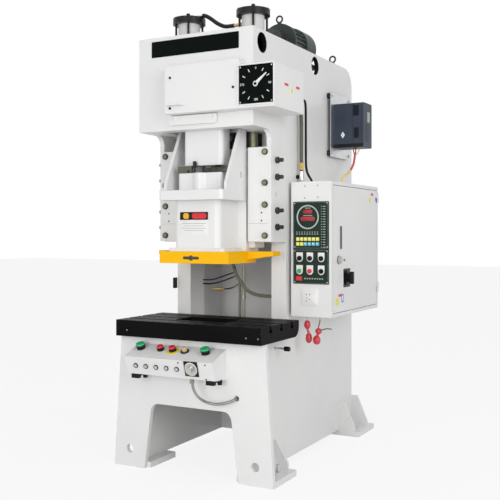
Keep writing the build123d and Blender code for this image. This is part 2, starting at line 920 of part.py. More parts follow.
# Bull gear on the crankshaft, with one tooth pointing down at the pinion
with BuildPart() as bull_gear:
    with BuildSketch(Plane.XZ.offset(-gear_front)):
        with Locations((0, crank_z)):
            Polygon(*gear_outline(gear_teeth, 0.85, -90), align=None)
            Circle(gear_seat_r, mode=Mode.SUBTRACT)
            with PolarLocations(gear_hole_at, 6, start_angle=30):
                Circle(gear_hole_r, mode=Mode.SUBTRACT)
    extrude(amount=-gear_wide)
    for y, depth in ((gear_front, -gear_recess), (gear_back, gear_recess)):
        with BuildSketch(Plane.XZ.offset(-y)):
            with Locations((0, crank_z)):
                Circle(gear_module * gear_teeth / 2 - gear_rim)
                Circle(gear_hub_r, mode=Mode.SUBTRACT)
        extrude(amount=depth, mode=Mode.SUBTRACT)
bull_gear.part.label = "bull_gear"
export_step(bull_gear.part, "parts/bull_gear.step")

# Pinion cut on its own shaft
shaft_steps = (
    (flywheel_back + clutch_long, tank_rear, shaft_r),
    (tank_rear, tank_front - 4, pinion_journal_r),
)
with BuildPart() as pinion_shaft:
    for y_back, y_front, radius in shaft_steps:
        with BuildSketch(Plane.XZ.offset(-y_back)):
            with Locations((0, shaft_z)):
                Circle(radius)
        extrude(amount=y_back - y_front)
    with BuildSketch(Plane.XZ.offset(-gear_front)):
        with Locations((0, shaft_z)):
            Polygon(*gear_outline(pinion_teeth, 0.9, 90 + 180 / pinion_teeth), align=None)
    extrude(amount=-gear_wide)
pinion_shaft.part.label = "pinion_shaft"
export_step(pinion_shaft.part, "parts/pinion_shaft.step")


def belt_middle(index):
    # Middle of one belt along the shaft
    return (flywheel_front + flywheel_back) / 2 + (index - (belt_count - 1) / 2) * belt_pitch


# Flywheel with belt grooves, a dished web, the hub and the clutch disc behind
with BuildPart() as flywheel:
    with BuildSketch(Plane.YZ):
        Polygon(
            (flywheel_front, shaft_r + fit),
            (flywheel_front, 100),
            (flywheel_front + 30, 110),
            (flywheel_front + 30, flywheel_r - 66),
            (flywheel_front, flywheel_r - 54),
            (flywheel_front, flywheel_r),
            (flywheel_back, flywheel_r),
            (flywheel_back, flywheel_r - 54),
            (flywheel_back - 20, flywheel_r - 66),
            (flywheel_back - 20, clutch_r),
            (flywheel_back + 30, clutch_r),
            (flywheel_back + 42, clutch_r - 40),
            (flywheel_back + clutch_long - 6, clutch_r - 50),
            (flywheel_back + clutch_long - 6, shaft_r + fit),
            align=None,
        )
        with Locations(*[(belt_middle(index), flywheel_r - groove_deep / 2) for index in range(belt_count)]):
            Trapezoid(belt_wide + 2, groove_deep, 76, rotation=180, mode=Mode.SUBTRACT)
    revolve(axis=Axis.Y)
flywheel.part = flywheel.part.moved(Location((0, 0, shaft_z)))
flywheel.part.label = "flywheel"
export_step(flywheel.part, "parts/flywheel.step")

# Motor pulley on the rotor shaft
motor_front = flywheel_back + 10.0
with BuildPart() as motor_pulley:
    with BuildSketch(Plane.YZ):
        Polygon(
            (flywheel_front, 0),
            (flywheel_front, pulley_r),
            (flywheel_back, pulley_r),
            (flywheel_back, motor_shaft_r),
            (motor_front + 20, motor_shaft_r),
            (motor_front + 20, 0),
            align=None,
        )
        with Locations(*[(belt_middle(index), pulley_r - groove_deep / 2) for index in range(belt_count)]):
            Trapezoid(belt_wide + 2, groove_deep, 76, rotation=180, mode=Mode.SUBTRACT)
    revolve(axis=Axis.Y)
motor_pulley.part = motor_pulley.part.moved(Location((motor_x, 0, motor_z)))
motor_pulley.part.label = "motor_pulley"
export_step(motor_pulley.part, "parts/motor_pulley.step")

# Belts from the motor pulley down to the flywheel
with BuildPart() as drive_belts:
    for index in range(belt_count):
        half = belt_wide / 2 - 2
        with BuildSketch(Plane.XZ.offset(-belt_middle(index) - half)):
            add(loop_face(0, shaft_z, flywheel_r + 1, motor_x, motor_z, pulley_r + 1))
            inside = 1 - belt_thick
            add(
                loop_face(0, shaft_z, flywheel_r + inside, motor_x, motor_z, pulley_r + inside),
                mode=Mode.SUBTRACT,
            )
        extrude(amount=2 * half)
drive_belts.part.label = "drive_belts"
export_step(drive_belts.part, "parts/drive_belts.step")

# Motor: end shield, finned body, fan cowl, feet and terminal box
motor_back = 310.0
body_r = 112.0
cowl_r = 130.0
cowl_long = 165.0
fin_count = 24
with BuildPart() as motor:
    with BuildSketch(Plane.XZ.offset(-motor_back + cowl_long)):
        with Locations((motor_x, motor_z)):
            Circle(body_r)
            with PolarLocations(body_r + 4, fin_count):
                Rectangle(16, 6)
    extrude(amount=motor_back - cowl_long - motor_front - 24)
    with BuildSketch(Plane.XZ.offset(-motor_front - 24)):
        with Locations((motor_x, motor_z)):
            Circle(body_r + 12)
    extrude(amount=14)
    with BuildSketch(Plane.XZ.offset(-motor_front - 10)):
        with Locations((motor_x, motor_z)):
            Circle(66)
    extrude(amount=10)
    with BuildSketch(Plane.XZ.offset(-motor_back)):
        with Locations((motor_x, motor_z)):
            Circle(cowl_r)
    extrude(amount=cowl_long)
    fillet(motor.faces().sort_by(Axis.Y)[-1].edges(), 24)
    for y in (motor_front + 50, motor_back - cowl_long - 62):
        with BuildSketch(Plane.XZ.offset(-y)):
            with Locations((motor_x, deck_top + 9)):
                Rectangle(216, 18)
            with Locations((motor_x - 74, deck_top + 34), (motor_x + 74, deck_top + 34)):
                Rectangle(20, 68)
        extrude(amount=-44)
    with BuildSketch(Plane.YZ.offset(motor_x - body_r - 50)):
        with Locations(((motor_front + motor_back - cowl_long) / 2, motor_z + 12)):
            RectangleRounded(120, 104, 10)
    extrude(amount=70)
    with BuildSketch(Plane.XZ.offset(-motor_front)):
        with Locations((motor_x, motor_z)):
            Circle(motor_shaft_r + fit)
    extrude(amount=-20, mode=Mode.SUBTRACT)
motor.part.label = "motor"
export_step(motor.part, "parts/motor.step")

# Balance cylinders: flanged barrels, end caps and tie rods with nuts
with BuildPart() as balance_cylinders:
    for sign in (-1, 1):
        centre = (sign * balance_x, balance_y)
        levels = (
            (balance_bottom, balance_top, balance_r),
            (frame_top, frame_top + 16, balance_r + 28),
            (balance_top, balance_top + cap_thick, cap_r),
        )
        for low, high, radius in levels:
            with BuildSketch(Plane.XY.offset(low)):
                with Locations(centre):
                    Circle(radius)
            extrude(amount=high - low)
        with BuildSketch(Plane.XY.offset(balance_bottom)):
            with Locations(centre):
                Circle(balance_rod_r + fit)
        extrude(amount=20, mode=Mode.SUBTRACT)
        with BuildSketch(Plane.XY.offset(balance_bottom + 12)):
            with Locations(centre):
                Circle(balance_bore_r + gap)
        extrude(amount=balance_top - balance_bottom - 12, mode=Mode.SUBTRACT)
        with BuildSketch(Plane.XY.offset(frame_top + 16)):
            with Locations(centre):
                with PolarLocations(balance_r + 14, 4, start_angle=28):
                    Circle(7)
        extrude(amount=balance_top - frame_top - 16)
        with BuildSketch(Plane.XY.offset(balance_top + cap_thick)):
            with Locations(centre):
                with PolarLocations(balance_r + 14, 4, start_angle=28):
                    RegularPolygon(13, 6)
        extrude(amount=14)
balance_cylinders.part.label = "balance_cylinders"
export_step(balance_cylinders.part, "parts/balance_cylinders.step")

# Balance rods: coupling on the slide, rod and piston
with BuildPart() as balance_rods:
    for sign in (-1, 1):
        for low, high, radius in (
            (column_top, piston_low + piston_thick, balance_rod_r),
            (piston_low, piston_low + piston_thick, balance_bore_r),
        ):
            with BuildSketch(Plane.XY.offset(low)):
                with Locations((sign * balance_x, balance_y)):
                    Circle(radius)
            extrude(amount=high - low)
balance_rods.part.label = "balance_rods"
export_step(balance_rods.part, "parts/balance_rods.step")

# Oil guard round the connecting rod, hung on the crown floor by its flange
with BuildPart() as rod_guard:
    guard_middle = (guard_front + guard_back) / 2
    guard_top = crown_bottom + crown_wall + guard_flange
    with BuildSketch(Plane.XY.offset(guard_bottom)):
        with Locations((0, guard_middle)):
            RectangleRounded(2 * guard_half, guard_back - guard_front, guard_round)
    extrude(amount=guard_top - guard_bottom)
    with BuildSketch(Plane.XY.offset(crown_bottom + crown_wall)):
        with Locations((0, guard_front + 15 - guard_flange_wide / 2)):
            Rectangle(2 * guard_half - 40, guard_flange_wide + 30)
    extrude(amount=guard_flange)
    with BuildSketch(Plane.XY.offset(guard_bottom)):
        with Locations((0, guard_middle)):
            RectangleRounded(
                2 * (guard_half - guard_wall),
                guard_back - guard_front - 2 * guard_wall,
                guard_round - guard_wall,
            )
    extrude(amount=guard_top - guard_bottom, mode=Mode.SUBTRACT)
rod_guard.part.label = "rod_guard"
export_step(rod_guard.part, "parts/rod_guard.step")

# Gib plates that hold the slide in its guides
with BuildPart() as gibs:
    for sign in (-1, 1):
        with BuildSketch(Plane.XZ.offset(-guide_front)):
            with Locations((sign * (gib_inner + half_width) / 2, (guide_bottom + gib_top) / 2)):
                Rectangle(half_width - gib_inner, gib_high)
            with Locations(*[(sign * gib_bolt_x, z) for z in gib_bolt_z]):
                Circle(gib_bolt_r, mode=Mode.SUBTRACT)
        extrude(amount=-gib_thick)
gibs.part.label = "gibs"
export_step(gibs.part, "parts/gibs.step")

# Guide screws: socket screws in front, adjusting screws with nuts at the sides
with BuildPart() as guide_bolts:
    for sign in (-1, 1):
        for z in gib_bolt_z:
            with BuildSketch(Plane.XZ.offset(-guide_back - 24)):
                with Locations((sign * gib_bolt_x, z)):
                    Circle(gib_bolt_r - gap)
            extrude(amount=gib_thick + 24)
            with BuildSketch(Plane.XZ.offset(-guide_front)):
                with Locations((sign * gib_bolt_x, z)):
                    Circle(19)
                    RegularPolygon(9, 6, mode=Mode.SUBTRACT)
            extrude(amount=9)
        for z in adjust_z:
            bolt_plane = Plane(origin=(sign * inner, adjust_y, z), z_dir=(sign, 0, 0))
            with BuildSketch(bolt_plane):
                Circle(adjust_r)
            extrude(amount=plate + 46)
            with BuildSketch(bolt_plane.offset(plate)):
                RegularPolygon(20, 6)
            extrude(amount=18)
guide_bolts.part.label = "guide_bolts"
export_step(guide_bolts.part, "parts/guide_bolts.step")

# Slide casting: guided column, wings, body, band, neck, side ribs and the ball seat
with BuildPart() as slide:
    blocks = (
        (slide_base, column_top, column_half, column_front, column_back),
        (slide_base + lip_thick, column_top, wing_half, guide_back + gap, column_back),
    )
    for low, high, half, front, back in blocks:
        with BuildSketch(Plane.XY.offset(low)):
            with Locations((0, (front + back) / 2)):
                Rectangle(2 * half, back - front)
        extrude(amount=high - low)
    castings = (
        (slide_base, slide_base + lip_thick, lip_half, lip_front, 24),
        (slide_base, band_top, body_half, body_front, 34),
        (band_bottom, band_top, band_half, band_front, 22),
        (band_top, neck_top, neck_half, neck_front, 20),
    )
    for low, high, half, front, corner in castings:
        with BuildSketch(Plane.XY.offset(low)) as block:
            with Locations((0, (front + column_front + 1) / 2)):
                Rectangle(2 * half, column_front + 1 - front)
            fillet(block.vertices().group_by(Axis.Y)[0], corner)
        extrude(amount=high - low)
    with BuildSketch(Plane.XY.offset(band_top)):
        with Locations((0, neck_front + 30)):
            Circle(55)
    extrude(amount=neck_top - band_top)
    for rib_x in (-column_half, column_half - rib_thick):
        with BuildSketch(Plane.YZ.offset(rib_x)):
            Polygon(
                (rib_low_y, band_top),
                (rib_low_y, rib_low_z),
                (rib_top_y, rib_top),
                (column_front, rib_top),
                (column_front, band_top),
                align=None,
            )
            with Locations((rib_top_y, neck_top - 13)):
                SlotOverall(40, 12, rotation=90, mode=Mode.SUBTRACT)
        extrude(amount=rib_thick)
    with Locations((0, ram_y, (neck_top + ball_z + seat_ledge) / 2)):
        Cone(seat_throat_r, seat_mouth_r, neck_top - ball_z - seat_ledge, mode=Mode.SUBTRACT)
    with Locations((0, ram_y, ball_z)):
        Sphere(ball_r + gap, mode=Mode.SUBTRACT)
slide.part.label = "slide"
export_step(slide.part, "parts/slide.step")

# Slide bottom plate with side ears, shank hole and tapped holes
die_shank_r = 25.0
die_hole_r = 9.0
die_hole_x = 170.0
die_hole_y = 110.0
plate_middle = (slide_plate_front + slide_plate_back) / 2
with BuildPart() as slide_plate:
    with BuildSketch(Plane.XY.offset(slide_bottom)):
        with Locations((0, plate_middle)):
            Rectangle(2 * slide_plate_half, slide_plate_back - slide_plate_front)
    extrude(amount=slide_plate_thick)
    with BuildSketch(Plane.XZ.offset(-ear_front)):
        for sign in (-1, 1):
            Polygon(
                (sign * slide_plate_half, slide_base - ear_thick),
                (sign * ear_out, slide_base - ear_tip),
                (sign * ear_out, slide_base),
                (sign * slide_plate_half, slide_base),
                align=None,
            )
    extrude(amount=ear_front - slide_plate_back)
    with BuildSketch(Plane.XY.offset(slide_bottom)):
        with Locations((0, ram_y)):
            Circle(die_shank_r)
        with Locations((0, plate_middle)):
            with GridLocations(2 * die_hole_x, 2 * die_hole_y, 2, 2):
                Circle(die_hole_r)
    extrude(amount=40, mode=Mode.SUBTRACT)
slide_plate.part.label = "slide_plate"
export_step(slide_plate.part, "parts/slide_plate.step")

# Connecting rod, drawn upright from the ball's centre and then tilted into place.
# The eye is wider than the crank pin, because it follows the pin only roughly.
rod_place = Location((0, ram_y, ball_z), (0, rod_tilt, 0))
eye_left = 87.0
eye_right = 47.0
eye_down = 35.0
eye_up = 3.0
eye_wall = 25.0
rod_low = 198.0
eye_hole_wide = 2 * (pin_r + 1) + eye_left + eye_right
eye_hole_high = 2 * (pin_r + 1) + eye_down + eye_up
eye_x = (eye_right - eye_left) / 2
eye_z = rod_length + (eye_up - eye_down) / 2
with BuildPart() as rod_upright:
    with BuildSketch(Plane.XZ.offset(-eye_wide / 2)):
        with Locations((eye_x, eye_z)):
            RectangleRounded(eye_hole_wide + 2 * eye_wall, eye_hole_high + 2 * eye_wall, pin_r + eye_wall)
    extrude(amount=eye_wide)
    with BuildSketch(Plane.XY.offset(rod_low)):
        RectangleRounded(2 * rod_half_x, 2 * rod_half_y, 20)
    extrude(amount=eye_z - rod_low)
    with BuildSketch(Plane.XZ.offset(-eye_wide / 2)):
        with Locations((eye_x, eye_z)):
            RectangleRounded(eye_hole_wide, eye_hole_high, pin_r)
    extrude(amount=eye_wide, mode=Mode.SUBTRACT)
    with BuildSketch(Plane.XY.offset(rod_low)):
        Circle(shank_r - 6 + gap)
    extrude(amount=240, mode=Mode.SUBTRACT)
connecting_rod = rod_upright.part.moved(rod_place)
connecting_rod.label = "connecting_rod"
export_step(connecting_rod, "parts/connecting_rod.step")

# Ball screw between the rod and the slide, with the lock ring on its neck
with BuildPart() as screw_upright:
    Sphere(ball_r)
    with BuildSketch(Plane.XY):
        Circle(shank_r)
    extrude(amount=shank_long)
    with BuildSketch(Plane.XY.offset(shank_long)):
        RegularPolygon(lock_ring_r, 8)
    extrude(amount=rod_low - shank_long)
    with BuildSketch(Plane.XY.offset(rod_low)):
        Circle(shank_r - 6)
    extrude(amount=210)
ball_screw = screw_upright.part.moved(rod_place)
ball_screw.label = "ball_screw"
export_step(ball_screw, "parts/ball_screw.step")

# Rear cover with louvres over the drive
rear_cover_low = 1000.0
rear_cover_high = frame_top - rear_round
louvre_rows = 9
with BuildPart() as rear_cover:
    with BuildSketch(Plane.XZ.offset(-frame_rear + 15)):
        with Locations((0, (rear_cover_low + rear_cover_high) / 2)):
            Rectangle(2 * inner, rear_cover_high - rear_cover_low)
        with Locations((0, rear_cover_low + 700)):
            with GridLocations(320, 60, 2, louvre_rows):
                SlotOverall(220, 18, mode=Mode.SUBTRACT)
    extrude(amount=-sheet)
    for z in (rear_cover_low, rear_cover_high - sheet):
        with BuildSketch(Plane.XZ.offset(-frame_rear + 15 - sheet)):
            with Locations((0, z + sheet / 2)):
                Rectangle(2 * inner, sheet)
        extrude(amount=-12)
rear_cover.part.label = "rear_cover"
export_step(rear_cover.part, "parts/rear_cover.step")

# Cabinet: folded sheet box with a rim round the door opening, on four stand-offs
cabinet_x = (cabinet_in + cabinet_out) / 2
cabinet_y = (cabinet_front + cabinet_back) / 2
cabinet_z = (cabinet_bottom + cabinet_top) / 2
hinge_x = cabinet_out + hinge_r + 0.6
hinge_y = cabinet_back - rim
hinge_levels = (cabinet_bottom + 110, cabinet_top - 110)
with BuildPart() as cabinet:
    with BuildSketch(Plane.YZ.offset(cabinet_in)):
        with Locations((cabinet_y, cabinet_z)):
            Rectangle(cabinet_back - cabinet_front, cabinet_top - cabinet_bottom)
    extrude(amount=cabinet_out - cabinet_in)
    with BuildSketch(Plane.YZ.offset(cabinet_in + sheet)):
        with Locations((cabinet_y, cabinet_z)):
            Rectangle(cabinet_back - cabinet_front - 2 * sheet, cabinet_top - cabinet_bottom - 2 * sheet)
    extrude(amount=cabinet_out - cabinet_in - 2 * sheet, mode=Mode.SUBTRACT)
    with BuildSketch(Plane.YZ.offset(cabinet_out - sheet)):
        with Locations((cabinet_y, cabinet_z)):
            Rectangle(cabinet_back - cabinet_front - 2 * rim, cabinet_top - cabinet_bottom - 2 * rim)
    extrude(amount=sheet, mode=Mode.SUBTRACT)
    with BuildSketch(Plane.XZ.offset(-cabinet_front)):
        with Locations(*[(x, z) for x in control_x for z in (button_z, selector_z)]):
            Circle(control_r)
    extrude(amount=-sheet, mode=Mode.SUBTRACT)
    with BuildSketch(Plane.YZ.offset(half_width)):
        with Locations((cabinet_y, cabinet_z)):
            with GridLocations(560, 640, 2, 2):
                Circle(15)
    extrude(amount=cabinet_in - half_width)
    for z in hinge_levels:
        with BuildSketch(Plane.XY.offset(z)):
            with Locations((hinge_x, hinge_y)):
                Circle(hinge_r)
            with Locations(((cabinet_out + hinge_x) / 2 + 0.3, hinge_y + 12)):
                Rectangle(2, 24)
            with Locations((cabinet_out + 2.5, hinge_y + 22)):
                Rectangle(5, 16)
        extrude(amount=hinge_long)
        with BuildSketch(Plane.XY.offset(z + hinge_long)):
            with Locations((hinge_x, hinge_y)):
                Circle(hinge_pin_r)
        extrude(amount=hinge_long)
cabinet.part.label = "cabinet"
export_step(cabinet.part, "parts/cabinet.step")

# Cabinet door: a folded pan with the bar handle, hinged at its rear edge
door_in = cabinet_out - door_thick
door_half_y = (cabinet_back - cabinet_front) / 2 - rim - door_gap
door_half_z = (cabinet_top - cabinet_bottom) / 2 - rim - door_gap
with BuildPart() as cabinet_door:
    with BuildSketch(Plane.YZ.offset(door_in)):
        with Locations((cabinet_y, cabinet_z)):
            Rectangle(2 * door_half_y, 2 * door_half_z)
    extrude(amount=door_thick)
    with BuildSketch(Plane.YZ.offset(door_in)):
        with Locations((cabinet_y, cabinet_z)):
            Rectangle(2 * (door_half_y - sheet), 2 * (door_half_z - sheet))
    extrude(amount=door_thick - sheet, mode=Mode.SUBTRACT)
    with BuildSketch(Plane.YZ.offset(cabinet_out)):
        with Locations((handle_y, (handle_low + handle_high) / 2)):
            RectangleRounded(16, handle_high - handle_low, 7)
    extrude(amount=7)
    with BuildSketch(Plane.YZ.offset(cabinet_out)):
        with Locations((isolator_y, isolator_z)):
            RectangleRounded(isolator_plate_wide, isolator_plate_high, 6)
    extrude(amount=isolator_plate_thick)
    with BuildSketch(Plane.YZ.offset(door_in)):
        with Locations((latch_y, latch_z), (isolator_y, isolator_z)):
            Circle(latch_r)
    extrude(amount=door_thick + isolator_plate_thick, mode=Mode.SUBTRACT)
    for z in hinge_levels:
        with BuildSketch(Plane.XY.offset(z + hinge_long + 0.5)):
            with Locations((hinge_x, hinge_y)):
                Circle(hinge_r)
            with Locations((hinge_x - hinge_r + 1, hinge_y - 16)):
                Rectangle(2, 32)
            with Locations((cabinet_out + 0.8, hinge_y - 22)):
                Rectangle(1.6, 20)
            with Locations((hinge_x, hinge_y)):
                Circle(hinge_pin_r + fit, mode=Mode.SUBTRACT)
        extrude(amount=hinge_long - 1)
cabinet_door.part.label = "cabinet_door"
export_step(cabinet_door.part, "parts/cabinet_door.step")

# Turning latch with its wing grip
latch_top = cabinet_out + latch_collar_high
with BuildPart() as door_latch:
    latch_steps = (
        (door_in - 10, cabinet_out, latch_r - gap),
        (cabinet_out + gap, latch_top, latch_collar_r),
    )
    for low, high, radius in latch_steps:
        with BuildSketch(Plane.YZ.offset(low)):
            with Locations((latch_y, latch_z)):
                Circle(radius)
        extrude(amount=high - low + (gap if radius < latch_r else 0))
    with BuildSketch(Plane.YZ.offset(latch_top)):
        with Locations((latch_y, latch_z)):
            SlotOverall(latch_wing_long, latch_wing_wide)
    extrude(amount=latch_wing_high)
door_latch.part.label = "door_latch"
export_step(door_latch.part, "parts/door_latch.step")

# Main isolator handle on the door
with BuildPart() as isolator_switch:
    isolator_steps = ((isolator_base_high, isolator_base_r), (isolator_hub_high, isolator_hub_r))
    level = cabinet_out + isolator_plate_thick + gap
    with BuildSketch(Plane.YZ.offset(door_in - 20)):
        with Locations((isolator_y, isolator_z)):
            Circle(latch_r - gap)
    extrude(amount=level - door_in + 20)
    for high, radius in isolator_steps:
        with BuildSketch(Plane.YZ.offset(level)):
            with Locations((isolator_y, isolator_z)):
                Circle(radius)
        extrude(amount=high)
        level += high
    with BuildSketch(Plane.YZ.offset(level)):
        with Locations((isolator_y, isolator_z)):
            SlotOverall(isolator_grip_long, isolator_grip_wide, rotation=90)
    extrude(amount=isolator_grip_high)
isolator_switch.part.label = "isolator_switch"
export_step(isolator_switch.part, "parts/isolator_switch.step")

# Operator panel on the cabinet front
with BuildPart() as control_panel:
    with BuildSketch(Plane.XZ.offset(-cabinet_front)):
        with Locations(((panel_left + panel_right) / 2, (panel_bottom + panel_top) / 2)):
            RectangleRounded(panel_right - panel_left, panel_top - panel_bottom, 5)
        with Locations(*[(x, z) for x in control_x for z in (button_z, selector_z)]):
            Circle(control_r, mode=Mode.SUBTRACT)
    extrude(amount=panel_thick)
    with BuildSketch(Plane.XZ.offset(-cabinet_front + panel_thick)):
        with Locations((ring_x, ring_z)):
            Circle(ring_r)
            Circle(ring_r - ring_wide, mode=Mode.SUBTRACT)
    extrude(amount=1.2)
control_panel.part.label = "control_panel"
export_step(control_panel.part, "parts/control_panel.step")

panel_face = cabinet_front - panel_thick


def make_selector(name, x, z, bar_angle):
    # Turning switch: shaft through the panel, collar and bar grip
    with BuildPart() as made:
        for y, radius, length in ((cabinet_front + 8, control_r - gap, 13 + gap), (panel_face - gap, 15, 9)):
            with BuildSketch(Plane.XZ.offset(-y)):
                with Locations((x, z)):
                    Circle(radius)
            extrude(amount=length)
        with BuildSketch(Plane.XZ.offset(-panel_face + gap + 9)):
            with Locations((x, z)):
                SlotOverall(27, 9, rotation=bar_angle)
        extrude(amount=12)
    made.part.label = name
    export_step(made.part, f"parts/{name}.step")


def make_push_button(name, x, z):
    # Push button: stem through the panel and a domed cap clear of it
    with BuildPart() as made:
        for y, radius, length in ((cabinet_front + 6, control_r - gap, 17), (panel_face - 6, 14, 8)):
            with BuildSketch(Plane.XZ.offset(-y)):
                with Locations((x, z)):
                    Circle(radius)
            extrude(amount=length)
        fillet(made.faces().sort_by(Axis.Y)[0].edges(), 3)
    made.part.label = name
    export_step(made.part, f"parts/{name}.step")


make_selector("selector_left", control_x[0], selector_z, 60)
make_selector("selector_middle", control_x[1], selector_z, 90)
make_selector("selector_right", control_x[2], selector_z, 120)
make_selector("key_switch", control_x[2], button_z, 90)
make_push_button("start_button", control_x[0], button_z)
make_push_button("stop_button", control_x[1], button_z)

# Inverter housing with its front and side vents
with BuildPart() as inverter:
    with BuildSketch(Plane.YZ.offset(inverter_in)):
        with Locations(((inverter_front + inverter_back) / 2, (inverter_bottom + inverter_top) / 2)):
            RectangleRounded(inverter_back - inverter_front, inverter_top - inverter_bottom, 8)
    extrude(amount=inverter_out - inverter_in)
    with BuildSketch(Plane.XZ.offset(-inverter_front)):
        for row in range(6):
            with Locations((inverter_out - 60, inverter_top - 28 - 12 * row)):
                SlotOverall(40, 5)
            with Locations((inverter_out - 60, inverter_bottom + 74 + 12 * row)):
                SlotOverall(40, 5)
    extrude(amount=-3, mode=Mode.SUBTRACT)
inverter.part.label = "inverter"
export_step(inverter.part, "parts/inverter.step")

# Carrier plate of the inverter on four rubber buffers
buffer_y = (carrier_front + 25, carrier_back - 25)
buffer_z = (carrier_bottom + 25, carrier_top - 25)
buffers = [(y, z) for y in buffer_y for z in buffer_z]
with BuildPart() as inverter_plate:
    with BuildSketch(Plane.YZ.offset(inverter_in - carrier_thick)):
        with Locations(((carrier_front + carrier_back) / 2, (carrier_bottom + carrier_top) / 2)):
            RectangleRounded(carrier_back - carrier_front, carrier_top - carrier_bottom, 6)
    extrude(amount=carrier_thick)
    with BuildSketch(Plane.YZ.offset(half_width)):
        with Locations(*buffers):
            Circle(buffer_r)
    extrude(amount=inverter_in - carrier_thick - half_width)
    with BuildSketch(Plane.YZ.offset(inverter_in)):
        with Locations(*buffers):
            RegularPolygon(10, 6)
    extrude(amount=8)
inverter_plate.part.label = "inverter_plate"
export_step(inverter_plate.part, "parts/inverter_plate.step")

# Two-hand console: folded box with a sloping top, open at the back on the frame
slope_down = console_back_z - console_ridge_z
slope_out = frame_front - console_ridge_y
slope = Plane(
    origin=(0, frame_front, console_back_z), x_dir=(1, 0, 0), z_dir=(0, -slope_down, slope_out)
)
lower_face = Plane(
    origin=(0, console_ridge_y, console_ridge_z),
    x_dir=(1, 0, 0),
    z_dir=(0, console_low_z - console_ridge_z, console_ridge_y - console_low_y),
)
with BuildPart() as console:
    with BuildSketch(Plane.YZ.offset(console_left)):
        Polygon(
            (frame_front, console_back_z),
            (console_ridge_y, console_ridge_z),
            (console_low_y, console_low_z),
            (frame_front, console_under_z),
            align=None,
        )
    extrude(amount=console_right - console_left)
    offset(amount=-console_wall, openings=console.faces().sort_by(Axis.Y)[-1])
    with BuildSketch(slope):
        with Locations(*[(x, -button_down) for x in (*palm_x, lamp_x)]):
            Circle(palm_collar_r)
        with Locations((stop_x, -button_down), (emergency_x, -button_down)):
            Circle(stop_collar_r)
    extrude(amount=collar_high)
    with BuildSketch(slope.offset(collar_high)):
        with Locations((lamp_x, -button_down)):
            Circle(lamp_r)
    extrude(amount=lamp_high)
    with BuildSketch(slope.offset(-console_wall - 1)):
        with Locations(*[(x, -button_down) for x in (*palm_x, stop_x, emergency_x)]):
            Circle(stem_r)
    extrude(amount=console_wall + 11, mode=Mode.SUBTRACT)
    with BuildSketch(lower_face):
        with Locations(*[(plug_x + plug_pitch * index, -plug_down) for index in range(5)]):
            Circle(plug_r)
        with Locations((switch_x, -switch_down)):
            RectangleRounded(switch_plate_wide, switch_plate_wide, 4)
    extrude(amount=switch_plate_thick)
    with BuildSketch(lower_face.offset(-console_wall - 1)):
        with Locations((switch_x, -switch_down)):
            Circle(stem_r)
    extrude(amount=console_wall + 7, mode=Mode.SUBTRACT)
console.part.label = "console"
export_step(console.part, "parts/console.step")


def make_palm_button(name, x, head_r, head_high, rise):
    # Mushroom head on a stem that slides square to the sloping top
    with BuildPart() as made:
        with BuildSketch(slope.offset(-console_wall - 8)):
            with Locations((x, -button_down)):
                Circle(stem_r - gap)
        extrude(amount=console_wall + 8 + rise)
        with BuildSketch(slope.offset(rise)):
            with Locations((x, -button_down)):
                Circle(head_r)
        extrude(amount=head_high)
        rim_edges = made.edges().filter_by(GeomType.CIRCLE).sort_by(SortBy.DISTANCE)
        top_rim = max(rim_edges, key=lambda edge: slope.to_local_coords(edge.center()).Z)
        fillet(top_rim, head_high * 0.4)
    made.part.label = name
    export_step(made.part, f"parts/{name}.step")


make_palm_button("palm_button_left", palm_x[0], 29, 20, 18)
make_palm_button("palm_button_right", palm_x[1], 29, 20, 18)
make_palm_button("console_stop", stop_x, 20, 15, 17)
make_palm_button("emergency_stop", emergency_x, 21, 16, 17)

# Rotary switch with a round collar on the console's lower face
with BuildPart() as console_switch:
    for low, high, radius in ((-12, 6, stem_r - gap), (5 + gap, 14, 36), (14, 34, 20)):
        with BuildSketch(lower_face.offset(low)):
            with Locations((switch_x, -switch_down)):
                Circle(radius)
        extrude(amount=high - low)
console_switch.part.label = "console_switch"
export_step(console_switch.part, "parts/console_switch.step")

# Lifting eyes on the frame and the motor
eye_y = 454.0
eye_places = (
    (-half_width + plate / 2, eye_y, frame_top),
    (half_width - plate / 2, eye_y, frame_top),
    (motor_x, motor_front + 17, motor_z + body_r + 12),
)
with BuildPart() as eye_bolts:
    for x, y, z in eye_places:
        with BuildSketch(Plane.XY.offset(z)):
            with Locations((x, y)):
                Circle(14)
        extrude(amount=12)
        with Locations(Location((x, y, z + 30), (90, 0, 0))):
            Torus(21, 6)
eye_bolts.part.label = "eye_bolts"
export_step(eye_bolts.part, "parts/eye_bolts.step")

# Wrapped spare plugs that hang from glands under the cabinet
plug_places = ((500.0, -240.0), (581.0, -240.0))
with BuildPart() as spare_plugs:
    with BuildSketch(Plane.XY.offset(cabinet_bottom)):
        with Locations(*plug_places):
            Circle(11)
    extrude(amount=-40)
    with BuildSketch(Plane.XY.offset(cabinet_bottom - 30)):
        with Locations(*plug_places):
            Circle(19)
    extrude(amount=-76)
    with BuildSketch(Plane.XY.offset(cabinet_bottom - 98)):
        with Locations(*plug_places):
            Circle(23)
    extrude(amount=-84, taper=4)
spare_plugs.part.label = "spare_plugs"
export_step(spare_plugs.part, "parts/spare_plugs.step")

